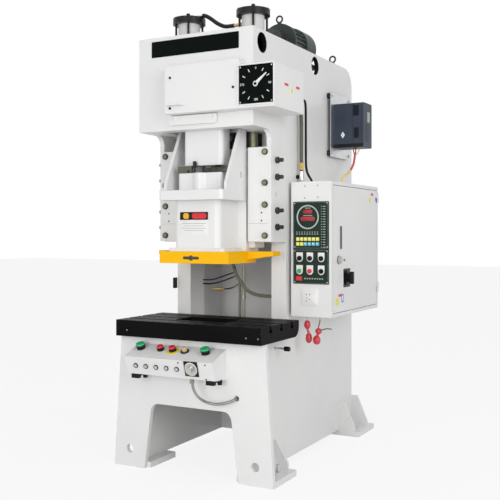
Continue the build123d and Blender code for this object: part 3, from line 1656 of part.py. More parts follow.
# Conduit from the cabinet top to the cam box, with glands and a cable beside it
riser_x = 436.0
riser_y = -171.0
riser_r = 12.5
riser_route = (
    (riser_x, riser_y, cabinet_top),
    (riser_x, riser_y, 2070.0),
    (riser_x, riser_y - 16, 2160.0),
    (riser_x + 2, riser_y - 76, 2236.0),
    (riser_x + 4, riser_y - 172, 2262.0),
    (riser_x + 4, cam_box_back, 2262.0),
)
cable_r = 6.0
cable_y = riser_y + 54
cable_route = (
    (half_width, cable_y, 2262.0),
    (half_width + 22, cable_y, 2262.0),
    (half_width + 41, cable_y, 2251.0),
    (half_width + 52, cable_y, 2232.0),
    (half_width + 52, cable_y, 1880.0),
    (half_width + 55, cable_y + 2, 1826.0),
    (half_width + 64, cable_y, 1790.0),
    (half_width + 68, cable_y, 1768.0),
    (half_width + 68, cable_y, cabinet_top),
)
with BuildPart() as riser_conduit:
    add(tube(riser_route, riser_r, "riser_conduit"))
    add(tube(cable_route, cable_r, "riser_cable"))
    for z, high, radius in ((cabinet_top, 18, 20), (cabinet_top + 84, 44, 18)):
        with BuildSketch(Plane.XY.offset(z)):
            with Locations((riser_x, riser_y)):
                RegularPolygon(radius, 6)
        extrude(amount=high)
riser_conduit.part.label = "riser_conduit"
export_step(riser_conduit.part, "parts/riser_conduit.step")

# Conduit from the console to the hole in the base
gland_x = 84.0
gland_y = -925.0
gland_z = 588.0
console_route = (
    (gland_x, gland_y + 10, gland_z),
    (gland_x + 3, gland_y + 12, gland_z - 44),
    (gland_x + 24, gland_y + 22, gland_z - 90),
    (gland_x + 66, gland_y + 40, gland_z - 124),
    (gland_x + 121, gland_y + 58, gland_z - 136),
    (gland_x + 178, gland_y + 72, gland_z - 128),
    (gland_x + 221, gland_y + 88, gland_z - 112),
    (cable_hole_x, frame_front - 8, cable_hole_z),
    (cable_hole_x, frame_front + 14, cable_hole_z + 1),
)
under_back = frame_front - console_low_y
under_plane = Plane(
    origin=(0, console_low_y, console_low_z),
    x_dir=(1, 0, 0),
    z_dir=(0, console_under_z - console_low_z, -under_back),
)
with BuildPart() as console_conduit:
    add(tube(console_route, 8.0, "console_conduit"))
    with BuildSketch(under_plane):
        with Locations((gland_x, console_low_y - gland_y - 10)):
            RegularPolygon(15, 6)
    extrude(amount=26)
console_conduit.part.label = "console_conduit"
export_step(console_conduit.part, "parts/console_conduit.step")

# Cable from the inverter to the cabinet top
inverter_route = (
    (560.0, 430.0, inverter_bottom),
    (560.0, 430.0, 1955.0),
    (557.0, 414.0, 1896.0),
    (550.0, 368.0, 1848.0),
    (543.0, 308.0, 1824.0),
    (539.0, 262.0, 1806.0),
    (538.0, 240.0, 1784.0),
    (538.0, 236.0, 1764.0),
    (538.0, 236.0, cabinet_top),
)
with BuildPart() as inverter_cable:
    add(tube(inverter_route, 8.0, "inverter_cable"))
inverter_cable.part.label = "inverter_cable"
export_step(inverter_cable.part, "parts/inverter_cable.step")

# Air and oil lines: the hose between the balance cylinders and the lines in the throat
pipe_x = 24.0
pipe_y = -187.0
pipe_r = 10.0
collar_z = 1000.0
line_y = -211.0
hose_z = balance_top + cap_thick
hose_route = (
    (-balance_x + 54, balance_y, hose_z + 12),
    (-balance_x + 100, balance_y, hose_z + 14),
    (-84.0, balance_y + 6, hose_z - 6),
    (-36.0, balance_y + 8, hose_z - 42),
    (16.0, balance_y + 6, hose_z - 72),
    (66.0, balance_y, hose_z - 80),
    (118.0, balance_y, hose_z - 76),
    (balance_x - balance_r, balance_y, hose_z - 76),
)
main_route = (
    (strip_in, line_y, 1027.0),
    (240.0, line_y, 1027.0),
    (176.0, line_y, 1026.0),
    (118.0, line_y, 1034.0),
    (76.0, line_y, 1050.0),
    (40.0, line_y, 1079.0),
    (8.0, line_y, 1118.0),
    (-20.0, line_y, 1160.0),
    (-44.0, line_y, 1226.0),
    (-62.0, line_y, 1294.0),
    (-74.0, line_y, 1386.0),
    (-80.0, line_y - 1, 1510.0),
    (-82.0, line_y, 1660.0),
    (-78.0, line_y - 1, 1810.0),
    (-78.0, line_y - 1, tank_floor),
)
upper_route = (
    (-strip_in, line_y + 41, 1116.0),
    (-228.0, line_y + 41, 1116.0),
    (-126.0, line_y + 23, 1146.0),
    (-27.0, line_y, 1176.0),
)
lower_route = (
    (-strip_in, line_y + 41, 1090.0),
    (-226.0, line_y + 41, 1090.0),
    (-116.0, line_y + 23, 1118.0),
    (-14.0, line_y, 1153.0),
)
drain_route = (
    (5.0, line_y + 6, bed_top),
    (5.0, line_y + 6, 880.0),
    (4.0, line_y + 5, 960.0),
    (7.0, line_y + 5, 1035.0),
    (5.0, line_y + 2, 1085.0),
    (4.0, line_y, 1124.0),
)
branch_route = (
    (-114.0, line_y, 1061.0),
    (-72.0, line_y, 1065.0),
    (-30.0, line_y, 1080.0),
    (5.0, line_y + 2, 1102.0),
)
throat_lines = (
    ("throat_main", main_route, 11.0),
    ("throat_upper", upper_route, 4.5),
    ("throat_lower", lower_route, 4.5),
    ("throat_drain", drain_route, 9.0),
    ("throat_branch", branch_route, 4.5),
)
coupling = ((-196.0, -172.0, 8.0), (-172.0, -128.0, 13.0), (-128.0, -110.0, 9.0))
with BuildPart() as air_lines:
    add(tube(hose_route, 8.0, "air_hose"))
    with BuildSketch(Plane.XY.offset(hose_z)):
        with Locations((-balance_x + 40, balance_y)):
            Circle(14)
    extrude(amount=22)
    with BuildSketch(Plane.XY.offset(bed_top)):
        with Locations((pipe_x, pipe_y)):
            Circle(pipe_r)
    extrude(amount=tank_floor - bed_top)
    with BuildSketch(Plane.XY.offset(collar_z)):
        with Locations((pipe_x, pipe_y)):
            RegularPolygon(pipe_r + 7, 6)
    extrude(amount=22)
    for name, route, radius in throat_lines:
        add(tube(route, radius, name))
    for low, high, radius in coupling:
        with BuildSketch(Plane.YZ.offset(low)):
            with Locations((line_y, branch_route[0][2])):
                Circle(radius)
        extrude(amount=high - low)
air_lines.part.label = "air_lines"
export_step(air_lines.part, "parts/air_lines.step")
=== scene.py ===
# Gap-frame mechanical press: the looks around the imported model, in metres
# X runs to the operator's right, Y from the operator to the back, Z up

import json
import math

import bmesh
import bpy
from mathutils import Matrix, Vector, noise


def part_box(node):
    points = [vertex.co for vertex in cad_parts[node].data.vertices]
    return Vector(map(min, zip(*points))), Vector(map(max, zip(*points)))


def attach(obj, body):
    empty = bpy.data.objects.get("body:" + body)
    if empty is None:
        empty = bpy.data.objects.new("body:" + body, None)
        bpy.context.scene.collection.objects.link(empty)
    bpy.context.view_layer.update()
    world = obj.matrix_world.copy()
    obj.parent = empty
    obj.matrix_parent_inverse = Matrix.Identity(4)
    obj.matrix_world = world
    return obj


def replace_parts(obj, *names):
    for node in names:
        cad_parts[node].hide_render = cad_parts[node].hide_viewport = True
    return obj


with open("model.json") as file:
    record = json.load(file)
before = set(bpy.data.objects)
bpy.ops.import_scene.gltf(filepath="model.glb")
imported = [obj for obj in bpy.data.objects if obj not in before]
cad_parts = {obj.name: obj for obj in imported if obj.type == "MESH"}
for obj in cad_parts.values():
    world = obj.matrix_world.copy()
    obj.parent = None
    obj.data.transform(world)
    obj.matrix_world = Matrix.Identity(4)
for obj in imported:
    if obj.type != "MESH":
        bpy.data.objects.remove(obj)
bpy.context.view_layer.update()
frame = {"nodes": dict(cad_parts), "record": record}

nodeObjects = frame["nodes"]
slotOf = {part["node"]: part["material_slot"] for part in frame["record"]["subparts"]}


# Camera at the photograph's angle
cameraLook = {
    "place": (2.60263, -4.90067, 1.43530),
    "turn": 28.256,
    "lens": 59.10,
    "sensor": 36.0,
    "shiftUp": -0.0353,
    "reach": 60.0,
}


def link(item):
    bpy.context.scene.collection.objects.link(item)


def makeCamera(look):
    data = bpy.data.cameras.new("camera")
    data.lens = look["lens"]
    data.sensor_width = look["sensor"]
    data.shift_y = look["shiftUp"]
    data.clip_end = look["reach"]
    camera = bpy.data.objects.new("camera", data)
    camera.location = look["place"]
    camera.rotation_euler = (math.radians(90.0), 0.0, math.radians(look["turn"]))
    link(camera)
    bpy.context.scene.camera = camera


makeCamera(cameraLook)
print("camera ready")


# Node helpers: all but the first three return an output socket
def newMaterial(name):
    material = bpy.data.materials.new(name)
    material.use_nodes = True
    return material, material.node_tree, material.node_tree.nodes["Principled BSDF"]


def setInputs(tree, node, values):
    # A socket is linked, any other value is set, and a colour gets its alpha
    for key, value in values.items():
        socket = node.inputs[key]
        if isinstance(value, bpy.types.NodeSocket):
            tree.links.new(value, socket)
        else:
            socket.default_value = (*value, 1.0) if socket.type == "RGBA" else value


def addNode(tree, kind, values=None, **settings):
    node = tree.nodes.new("ShaderNode" + kind)
    for name, setting in settings.items():
        setattr(node, name, setting)
    setInputs(tree, node, values or {})
    return node


def objectPoint(tree):
    return addNode(tree, "TexCoord").outputs["Object"]


def stretched(tree, point, scale):
    return addNode(tree, "Mapping", {"Scale": scale, "Vector": point}).outputs["Vector"]


def cloud(tree, point, scale, detail=2.0, rough=0.5):
    values = {"Vector": point, "Scale": scale, "Detail": detail, "Roughness": rough}
    return addNode(tree, "TexNoise", values).outputs["Fac"]


def spread(tree, value, fromLow, fromHigh, toLow, toHigh):
    values = {"Value": value, "From Min": fromLow, "From Max": fromHigh, "To Min": toLow, "To Max": toHigh}
    return addNode(tree, "MapRange", values).outputs["Result"]


def maths(tree, operation, first, second):
    return addNode(tree, "Math", {0: first, 1: second}, operation=operation).outputs["Value"]


def blendColour(tree, factor, first, second):
    return addNode(tree, "Mix", {0: factor, 6: first, 7: second}, data_type="RGBA").outputs[2]


def blendValue(tree, factor, first, second):
    return addNode(tree, "Mix", {0: factor, 2: first, 3: second}).outputs[0]


def roundedEdge(tree, radius):
    return addNode(tree, "Bevel", {"Radius": radius}, samples=4).outputs["Normal"]


def edgeMask(tree, edgeNormal, reach):
    normal = addNode(tree, "NewGeometry").outputs["Normal"]
    return spread(tree, vectorMaths(tree, "DOT_PRODUCT", edgeNormal, normal), 1.0 - reach, 0.995, 1.0, 0.0)


def raised(tree, height, strength, distance, normal):
    values = {"Strength": strength, "Distance": distance, "Height": height, "Normal": normal}
    return addNode(tree, "Bump", values).outputs["Normal"]


def vectorMaths(tree, operation, *vectors):
    node = addNode(tree, "VectorMath", dict(enumerate(vectors)), operation=operation)
    return node.outputs["Value" if operation in ("DOT_PRODUCT", "LENGTH") else "Vector"]


def pastPlane(tree, point, normal, limit):
    return maths(tree, "GREATER_THAN", vectorMaths(tree, "DOT_PRODUCT", point, normal), limit)


def insideBox(tree, point, low, high):
    # 1 between the two corners; None leaves that side open
    parts = addNode(tree, "SeparateXYZ", {0: point})
    mask = None
    for axis, floor, roof in zip("XYZ", low, high):
        for limit, operation in ((floor, "GREATER_THAN"), (roof, "LESS_THAN")):
            if limit is not None:
                mask = both(tree, mask, maths(tree, operation, parts.outputs[axis], limit))
    return mask


def insideRound(tree, point, axis, centre, radius):
    # 1 nearer than the radius to a line along the axis
    across = [0.0 if name == axis else 1.0 for name in "XYZ"]
    flat = vectorMaths(tree, "MULTIPLY", vectorMaths(tree, "SUBTRACT", point, centre), across)
    return maths(tree, "LESS_THAN", vectorMaths(tree, "LENGTH", flat), radius)


def both(tree, mask, area):
    return area if mask is None else maths(tree, "MULTIPLY", mask, area)


def paintZones(tree, shader, point, look, colour):
    # Parts of one node that have another colour, by where they are on it
    metallic = look.get("metallic", 0.0)
    for zone in look.get("zones", ()):
        mask = None
        for key, test in (("past", pastPlane), ("box", insideBox), ("round", insideRound)):
            if key in zone:
                mask = both(tree, mask, test(tree, point, *zone[key]))
        colour = blendColour(tree, mask, colour, zone["colour"])
        if "metallic" in zone:
            metallic = blendValue(tree, mask, metallic, zone["metallic"])
    setInputs(tree, shader, {"Metallic": metallic, "Base Color": colour})


# Finishes: what a look leaves out comes from the dictionary above its function
noiseSpan = (0.3, 0.7)
whole = (0.0, 1.0)
enamelLook = {"patch": 1.6, "edge": 0.0025, "peel": 260.0, "peelStrength": 0.12, "specular": 0.42, "coat": 0.10}


def enamel(name, look):
    # Sprayed enamel: slow tone changes, fine orange peel, softened edges with a little wear, which on black parts is a
    # lighter line and partly a painted highlight
    look = {**enamelLook, **look}
    material, tree, shader = newMaterial(name)
    point = objectPoint(tree)
    tone = spread(tree, cloud(tree, point, look["patch"], 3.0), 0.35, 0.65, *whole)
    colour = blendColour(tree, tone, look["shade"], look["colour"])
    normal = roundedEdge(tree, look["edge"])
    # Edge line in the edge tone: rubbed paint, and on black parts also a painted highlight
    if "worn" in look:
        edgeBreakup = spread(tree, cloud(tree, point, 60.0, 4.0, 0.7), 0.45, 0.62, *whole)
        mask = maths(tree, "MULTIPLY", edgeMask(tree, normal, 0.12), edgeBreakup)
        colour = blendColour(tree, maths(tree, "MULTIPLY", mask, look["wear"]), colour, look["worn"])
    if "dust" in look:
        # Faint handling marks in soft streaks
        smear = cloud(tree, stretched(tree, point, (9.0, 9.0, 2.2)), 1.0, 6.0, 0.62)
        streak = spread(tree, smear, 0.52, 0.74, *whole)
        colour = blendColour(tree, maths(tree, "MULTIPLY", streak, look["dust"]), colour, look["dirt"])
    paintZones(tree, shader, point, look, colour)
    normal = raised(tree, cloud(tree, point, look["peel"]), look["peelStrength"], 0.0006, normal)
    if "cast" in look:
        normal = raised(tree, cloud(tree, point, 90.0, 4.0, 0.6), look["cast"], 0.0012, normal)
    swirl = cloud(tree, point, 38.0, 3.0)
    setInputs(tree, shader, {
        "Roughness": spread(tree, swirl, *noiseSpan, look["rough"] - 0.05, look["rough"] + 0.05),
        "Normal": normal, "Specular IOR Level": look["specular"],
        "Coat Weight": look["coat"], "Coat Roughness": 0.22})
    return material


metalLook = {"metallic": 1.0, "grain": (40.0, 40.0, 900.0), "grainStrength": 0.15, "edge": 0.0008}


def metal(name, look):
    # Bare or oiled steel with a grain drawn along one direction
    look = {**metalLook, **look}
    material, tree, shader = newMaterial(name)
    point = objectPoint(tree)
    grain = cloud(tree, stretched(tree, point, look["grain"]), 1.0, 4.0, 0.7)
    smudge = spread(tree, cloud(tree, point, 14.0, 3.0), *noiseSpan, *whole)
    paintZones(tree, shader, point, look, blendColour(tree, smudge, look["shade"], look["colour"]))
    setInputs(tree, shader, {
        "Roughness": spread(tree, grain, *noiseSpan, look["rough"] - 0.07, look["rough"] + 0.09),
        "Normal": raised(tree, grain, look["grainStrength"], 0.0003, roundedEdge(tree, look["edge"]))})
    return material


mouldedLook = {"depth": 0.88, "grain": 1400.0, "grainStrength": 0.1, "edge": 0.0008, "specular": 0.35,
               "coat": 0.0, "clear": 0.0}


def moulded(name, look):
    # Moulded plastic or rubber: even colour, fine spark-eroded grain
    look = {**mouldedLook, **look}
    material, tree, shader = newMaterial(name)
    point = objectPoint(tree)
    tone = spread(tree, cloud(tree, point, 9.0), *noiseSpan, *whole)
    shade = tuple(channel * look["depth"] for channel in look["colour"])
    paintZones(tree, shader, point, look, blendColour(tree, tone, shade, look["colour"]))
    grain = cloud(tree, point, look["grain"])
    setInputs(tree, shader, {
        "Roughness": spread(tree, grain, *noiseSpan, look["rough"] - 0.04, look["rough"] + 0.06),
        "Normal": raised(tree, grain, look["grainStrength"], 0.0002, roundedEdge(tree, look["edge"])),
        "Specular IOR Level": look["specular"], "Coat Weight": look["coat"], "Transmission Weight": look["clear"]})
    return material


black = (0.012, 0.012, 0.013)
unlit = (0.006, 0.006, 0.006)
nearBlack = {"colour": (0.006, 0.006, 0.007), "shade": (0.010, 0.010, 0.010), "rough": 0.36, "coat": 0.0}
# Lighter grey for the edges of black parts: bare steel and a painted highlight
bareSteelAndHighlight = (0.34, 0.34, 0.33)
olive, brassTone = (0.19, 0.19, 0.145), (0.60, 0.45, 0.17)
redTone = (0.72, 0.018, 0.03)
sheetPaint = {"colour": (0.78, 0.78, 0.775), "shade": (0.755, 0.757, 0.755), "rough": 0.46,
              "peel": 520.0, "peelStrength": 0.22, "edge": 0.0015, "coat": 0.05}
zincCoat = {"colour": (0.66, 0.67, 0.68), "shade": (0.58, 0.59, 0.60), "rough": 0.38,
            "grain": (30.0, 30.0, 30.0), "grainStrength": 0.05}

# The console's slope, by its normal and how far along it the face is
slopeUp = (0.0, -0.35375, 0.93536)
slopeBelow = tuple(-part for part in slopeUp)
slopeLimit = Vector(slopeUp).dot(Vector((0.0, -0.806, 0.762))) + 0.0006


def postZone(x, y, radius, low, high, colour, **more):
    # An upright round between two heights
    return {"round": ("Z", (x, y, 0.0), radius), "box": ((None, None, low), (None, None, high)),
            "colour": colour, **more}


# Painted shade: the dark inside of the crown and the walls of its side holes
crownShadeZones = [{"round": ("X", (0.0, y, 2.543), 0.0606), "box": ((-0.3965, None, None), (0.3965, None, None)),
               "colour": unlit} for y in (-0.649, 0.117)]
# Painted shade: near black inside the crown above its floor
crownShadeZones += [{"box": ((-0.3685, -0.7355, 2.085), (0.3685, 0.75, 2.600)), "colour": (0.012, 0.012, 0.012)},
               # Painted shade: dark grey under the crown floor around the rod guard
               {"box": ((-0.2425, -0.50, 1.80), (0.2425, 0.189, 2.085)), "colour": (0.05, 0.05, 0.05)}]
barrelZones = [postZone(x, -0.448, 0.0708, 2.6375, 2.7615, (0.66, 0.665, 0.67)) for x in (-0.232, 0.232)]
airZones = [{"box": ((-0.045, -0.230, 0.80), (0.31, -0.190, 1.20)), "colour": olive},
            {"box": ((-0.120, -0.230, 1.18), (-0.030, -0.190, 1.96)), "colour": olive},
            postZone(0.024, -0.187, 0.0108, 0.80, 1.96, (0.36, 0.36, 0.27), metallic=0.35),
            postZone(0.024, -0.187, 0.0185, 0.999, 1.023, (0.55, 0.55, 0.52), metallic=1.0),
            {"box": ((-0.199, -0.226, 1.044), (-0.108, -0.196, 1.078)), "colour": brassTone, "metallic": 1.0},
            postZone(-0.192, -0.448, 0.0145, 2.79, None, (0.75, 0.75, 0.74), metallic=1.0)]

paints = {
    "framePaint": {"colour": (0.80, 0.80, 0.795), "shade": (0.765, 0.768, 0.765), "rough": 0.40,
                   "zones": crownShadeZones, "dust": 0.10, "dirt": (0.62, 0.615, 0.60)},
    "doorPaint": {**sheetPaint, "zones": [{"box": ((0.6895, -0.164, 1.332), (None, -0.146, 1.475)),
                                           "colour": (0.10, 0.10, 0.095), "metallic": 0.7}]},
    "cylinderPaint": {**nearBlack, "colour": unlit, "specular": 0.25, "zones": barrelZones},
    "slidePaint": {"colour": (0.81, 0.81, 0.805), "shade": (0.77, 0.772, 0.77), "rough": 0.36,
                   "cast": 0.16, "edge": 0.004},
    "cabinetPaint": sheetPaint,
    "consolePaint": {"colour": (0.79, 0.79, 0.785), "shade": (0.76, 0.762, 0.76), "rough": 0.42,
                     "edge": 0.0015, "zones": [{"past": (slopeUp, slopeLimit), "colour": black}]},
    # Black with lighter edges: bare steel and a painted highlight
    "bolsterBlack": {"colour": (0.0035, 0.0035, 0.004), "shade": (0.006, 0.006, 0.006), "rough": 0.42,
                     "worn": bareSteelAndHighlight, "wear": 0.5, "coat": 0.0, "specular": 0.04},
    "safetyYellow": {"colour": (0.95, 0.50, 0.0), "shade": (0.92, 0.47, 0.0), "rough": 0.42,
                     "worn": (0.30, 0.24, 0.12), "wear": 0.35, "coat": 0.0, "specular": 0.2},
    # Lighter edges on black paint: bare steel and a painted highlight
    "blackPaint": {**nearBlack, "worn": bareSteelAndHighlight, "wear": 0.2, "specular": 0.2},
    "motorPaint": {"colour": (0.060, 0.080, 0.070), "shade": (0.046, 0.062, 0.054), "rough": 0.44,
                   "edge": 0.0015, "coat": 0.0, "specular": 0.2},
}
metals = {
    "carrierSteel": {**zincCoat, "zones": [{"box": ((None, None, None), (0.4268, None, None)),
                                            "colour": unlit, "metallic": 0.0}]},
    "darkSteel": {"colour": (0.075, 0.075, 0.06), "shade": (0.045, 0.045, 0.038), "rough": 0.42, "metallic": 0.85},
    "oliveSteel": {"colour": (0.30, 0.30, 0.20), "shade": (0.16, 0.16, 0.10), "rough": 0.40, "metallic": 0.6},
    "groundSteel": {"colour": (0.60, 0.60, 0.59), "shade": (0.50, 0.50, 0.49), "rough": 0.26},
    "castIron": {"colour": (0.13, 0.13, 0.13), "shade": (0.09, 0.09, 0.09), "rough": 0.55,
                 "metallic": 0.7, "grain": (90.0, 90.0, 90.0)},
    "galvanised": zincCoat,
    "chrome": {"colour": (0.86, 0.86, 0.86), "shade": (0.80, 0.80, 0.80), "rough": 0.10, "grainStrength": 0.02},
    "silver": {"colour": (0.62, 0.61, 0.58), "shade": (0.52, 0.51, 0.48), "rough": 0.24, "grainStrength": 0.05},
    "brass": {"colour": (0.66, 0.50, 0.20), "shade": (0.52, 0.38, 0.14), "rough": 0.26, "grainStrength": 0.05},
    "conduitGrey": {"colour": (0.32, 0.30, 0.28), "shade": (0.20, 0.19, 0.175), "rough": 0.30, "metallic": 0.7},
}
plastics = {
    "airLines": {"colour": (0.008, 0.009, 0.009), "rough": 0.36, "grain": 500.0, "zones": airZones, "specular": 0.25},
    "palmGreen": {"colour": (0.03, 0.44, 0.17), "rough": 0.26, "coat": 0.3,
                  "zones": [{"past": (slopeBelow, -slopeLimit - 0.0285), "colour": unlit}]},
    "stopRed": {"colour": redTone, "rough": 0.26, "coat": 0.3,
                "zones": [{"past": (slopeBelow, -slopeLimit - 0.0200), "colour": unlit}]},
    "conduitOlive": {"colour": (0.115, 0.120, 0.088), "rough": 0.42, "grain": 500.0},
    "blackRubber": {"colour": (0.008, 0.008, 0.008), "rough": 0.55, "grain": 700.0, "specular": 0.2},
    "blackPlastic": {"colour": (0.006, 0.006, 0.007), "rough": 0.34, "specular": 0.2},
    "hoseBlack": {"colour": (0.008, 0.009, 0.009), "rough": 0.40, "grain": 500.0, "specular": 0.25},
    "redPlastic": {"colour": redTone, "rough": 0.24, "coat": 0.4},
    "greenPlastic": {"colour": (0.035, 0.42, 0.16), "rough": 0.24, "coat": 0.4},
    "lampLens": {"colour": (0.86, 0.62, 0.30), "rough": 0.14, "coat": 0.5, "clear": 0.25},
    "whitePlastic": {"colour": (0.86, 0.86, 0.85), "rough": 0.32, "coat": 0.1},
    "panelGreen": {"colour": (0.012, 0.030, 0.021), "rough": 0.42, "grain": 900.0, "grainStrength": 0.2,
                   "specular": 0.15},
    "inverterBlue": {"colour": (0.046, 0.058, 0.084), "rough": 0.44, "grain": 900.0, "grainStrength": 0.25,
                     "specular": 0.2, "zones": [{"box": ((0.6875, None, None), (None, None, None)),
                                                 "colour": (0.020, 0.026, 0.036)}]},
    "inverterDark": {"colour": (0.006, 0.008, 0.013), "rough": 0.38, "specular": 0.2},
    "dialBlack": {"colour": (0.0025, 0.0045, 0.0040), "rough": 0.34, "specular": 0.04},
    "displayRed": {"colour": (0.42, 0.02, 0.035), "rough": 0.18, "coat": 0.5},
    "wrapRed": {"colour": (0.66, 0.03, 0.05), "rough": 0.20, "coat": 0.6, "grain": 120.0, "grainStrength": 0.6},
}

# Plastics with a colour and a roughness alone
plains = {
    "yellowPlastic": ((0.90, 0.78, 0.02), 0.40),
    "cordPale": ((0.62, 0.60, 0.55), 0.45),
    "wireGreen": ((0.02, 0.10, 0.05), 0.45),
    "wireRed": ((0.62, 0.10, 0.13), 0.42),
    "wireBrown": ((0.16, 0.03, 0.02), 0.42),
    "sleeveYellow": ((0.84, 0.68, 0.24), 0.46),
    "printPale": ((0.50, 0.57, 0.52), 0.45),
    "printWhite": ((0.88, 0.88, 0.86), 0.45),
    "printGrey": ((0.40, 0.44, 0.41), 0.45),
    "printRed": ((0.74, 0.03, 0.04), 0.38),
    "printBlue": ((0.16, 0.20, 0.55), 0.38),
    "keyYellow": ((0.82, 0.80, 0.12), 0.40),
    "keyBlue": ((0.10, 0.46, 0.66), 0.40),
    "amber": ((0.90, 0.46, 0.02), 0.38),
}
plastics.update({name: {"colour": colour, "rough": rough} for name, (colour, rough) in plains.items()})


def snake(name):
    return "".join("_" + letter.lower() if letter.isupper() else letter for letter in name)


finishes = {name: maker(snake(name), look)
            for maker, looks in ((enamel, paints), (metal, metals), (moulded, plastics))
            for name, look in looks.items()}
print("finishes ready")


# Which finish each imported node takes
nodeFinish = {
    "framePaint": ("side_plate_left", "side_plate_right", "base_front_plate", "bed_plate", "throat_columns",
                   "back_plate", "crown_front_plate", "crown_floor", "crown_top_plate", "feet", "front_cover",
                   "cam_box", "gibs", "rear_cover"),
    "slidePaint": ("slide", "rod_guard"),
    "cabinetPaint": ("cabinet",),
    "doorPaint": ("cabinet_door",),
    "consolePaint": ("console",),
    "bolsterBlack": ("bolster",),
    "safetyYellow": ("slide_plate",),
    "cylinderPaint": ("balance_cylinders",),
    "motorPaint": ("motor",),
    "darkSteel": ("guide_bolts", "eye_bolts", "cam_chain", "bull_gear"),
    "castIron": ("connecting_rod", "flywheel", "motor_pulley", "ball_screw"),
    "oliveSteel": ("balance_rods",),
    "groundSteel": ("crankshaft", "pinion_shaft", "cam_shaft"),
    "galvanised": ("levelling_bolts",),
    "carrierSteel": ("inverter_plate",),
    "blackRubber": ("drive_belts",),
    "blackPlastic": ("isolator_switch", "selector_left", "selector_middle", "selector_right", "key_switch"),
    "hoseBlack": ("riser_conduit",),
    "airLines": ("air_lines",),
    "conduitGrey": ("console_conduit",),
    "redPlastic": ("stop_button",),
    "stopRed": ("console_stop", "emergency_stop"),
    "greenPlastic": ("start_button",),
    "palmGreen": ("palm_button_left", "palm_button_right"),
    "silver": ("console_switch", "door_latch"),
    "wrapRed": ("spare_plugs",),
    "panelGreen": ("control_panel",),
    "inverterBlue": ("inverter",),
    "dialBlack": ("dial_plate",),
    "printWhite": ("dial_pointer",),
    "wireRed": ("inverter_cable",),
}
for finish, nodes in nodeFinish.items():
    for node in nodes:
        materials = nodeObjects[node].data.materials
        materials.clear()
        materials.append(finishes[finish])
print("packed nodes dressed")


# Places: u runs right, v up and w out of the face that a piece sits on
def facing(origin, right, up):
    u, v = Vector(right).normalized(), Vector(up).normalized()
    place = Matrix((u, v, u.cross(v))).transposed().to_4x4()
    place.translation = Vector(origin)
    return place


def frontOf(y):
    return facing((0, y, 0), (1, 0, 0), (0, 0, 1))


def rightOf(x):
    return facing((x, 0, 0), (0, 1, 0), (0, 0, 1))


def topOf(z):
    return facing((0, 0, z), (1, 0, 0), (0, 1, 0))


# Outlines
def turns(steps):
    return [2 * math.pi * step / steps for step in range(steps)]


def rounded(wide, high, radius, steps=4):
    points = []
    for index, (side, level) in enumerate(((1, 1), (-1, 1), (-1, -1), (1, -1))):
        for step in range(steps + 1):
            angle = math.radians(90 * index + 90 * step / steps)
            points.append((side * (wide / 2 - radius) + radius * math.cos(angle),
                           level * (high / 2 - radius) + radius * math.sin(angle)))
    return points


def disc(radius, steps=32):
    return [(radius * math.cos(angle), radius * math.sin(angle)) for angle in turns(steps)]


def squareSpots(wide, high, steps=64):
    # A rectangle's outline with one point a ray, to pair with a disc's
    spots = []
    for angle in turns(steps):
        c, s = math.cos(angle), math.sin(angle)
        reach = min(wide / 2 / max(abs(c), 1e-9), high / 2 / max(abs(s), 1e-9))
        spots.append((reach * c, reach * s))
    return spots


def archLabel(wide, above, steps=14):
    # Square corners above, a half round below the origin
    radius = wide / 2
    arc = [math.pi + math.pi * step / steps for step in range(steps + 1)]
    return [(radius, above), (-radius, above)] + [(radius * math.cos(turn), radius * math.sin(turn)) for turn in arc]


# Shapes: each adds to a mesh
def bridge(mesh, rings, steps):
    # Faces from each ring of points to the next; a ring may be one point
    for first, second in zip(rings, rings[1:]):
        for step in range(steps):
            after = (step + 1) % steps
            corners = dict.fromkeys((first[step % len(first)], first[after % len(first)],
                                     second[after % len(second)], second[step % len(second)]))
            if len(corners) > 2:
                mesh.faces.new(list(corners))


def slab(mesh, outline, at, high, soft=0.0, low=0.0, turn=0.0):
    c, s = math.cos(turn), math.sin(turn)
    spots = [(at[0] + u * c - v * s, at[1] + u * s + v * c) for u, v in outline]
    lower = [mesh.verts.new((u, v, low)) for u, v in spots]
    upper = [mesh.verts.new((u, v, high)) for u, v in spots]
    top = mesh.faces.new(upper)
    mesh.faces.new(lower[::-1])
    bridge(mesh, (lower, upper), len(spots))
    if soft:
        bmesh.ops.bevel(mesh, geom=list(top.edges), offset=soft, segments=2, profile=0.6, affect="EDGES",
                        clamp_overlap=True)


def block(mesh, size, *rest):
    # size holds the width, the height and the corners' radius
    slab(mesh, rounded(*size), *rest)


def frameSlab(mesh, outer, inner, at, high):
    rings = [[mesh.verts.new((at[0] + u, at[1] + v, level)) for u, v in outline]
             for outline, level in ((outer, 0.0), (outer, high), (inner, high), (inner, 0.0))]
    bridge(mesh, rings + rings[:1], len(outer))


def lathe(mesh, profile, at, steps=32):
    # profile holds (radius, height) or (radius, height, sides) for a ring with flats
    rings = []
    for ring in profile:
        radius, height, sides = (*ring, 0)[:3]
        if radius == 0:
            rings.append([mesh.verts.new((at[0], at[1], height))])
            continue
        spots = []
        for angle in turns(steps):
            reach = radius
            if sides:
                part = math.pi / sides
                reach = radius * math.cos(part) / math.cos(angle % (2 * part) - part)
            spots.append(mesh.verts.new((at[0] + reach * math.cos(angle), at[1] + reach * math.sin(angle), height)))
        rings.append(spots)
    bridge(mesh, rings, steps)


def socketScrew(mesh, at, radius, high, low=0.0):
    socket = radius * 0.52
    lathe(mesh, ((radius, low), (radius, low + high * 0.8), (radius * 0.88, low + high), (socket, low + high, 6),
                 (socket, low + high * 0.35, 6), (0, low + high * 0.25)), at, 24)


def crossScrew(mesh, at, radius, high, low=0.0):
    lathe(mesh, ((radius, low), (radius * 0.94, low + high * 0.45), (radius * 0.6, low + high * 0.9),
                 (radius * 0.3, low + high), (radius * 0.22, low + high * 0.6), (0, low + high * 0.55)), at, 16)


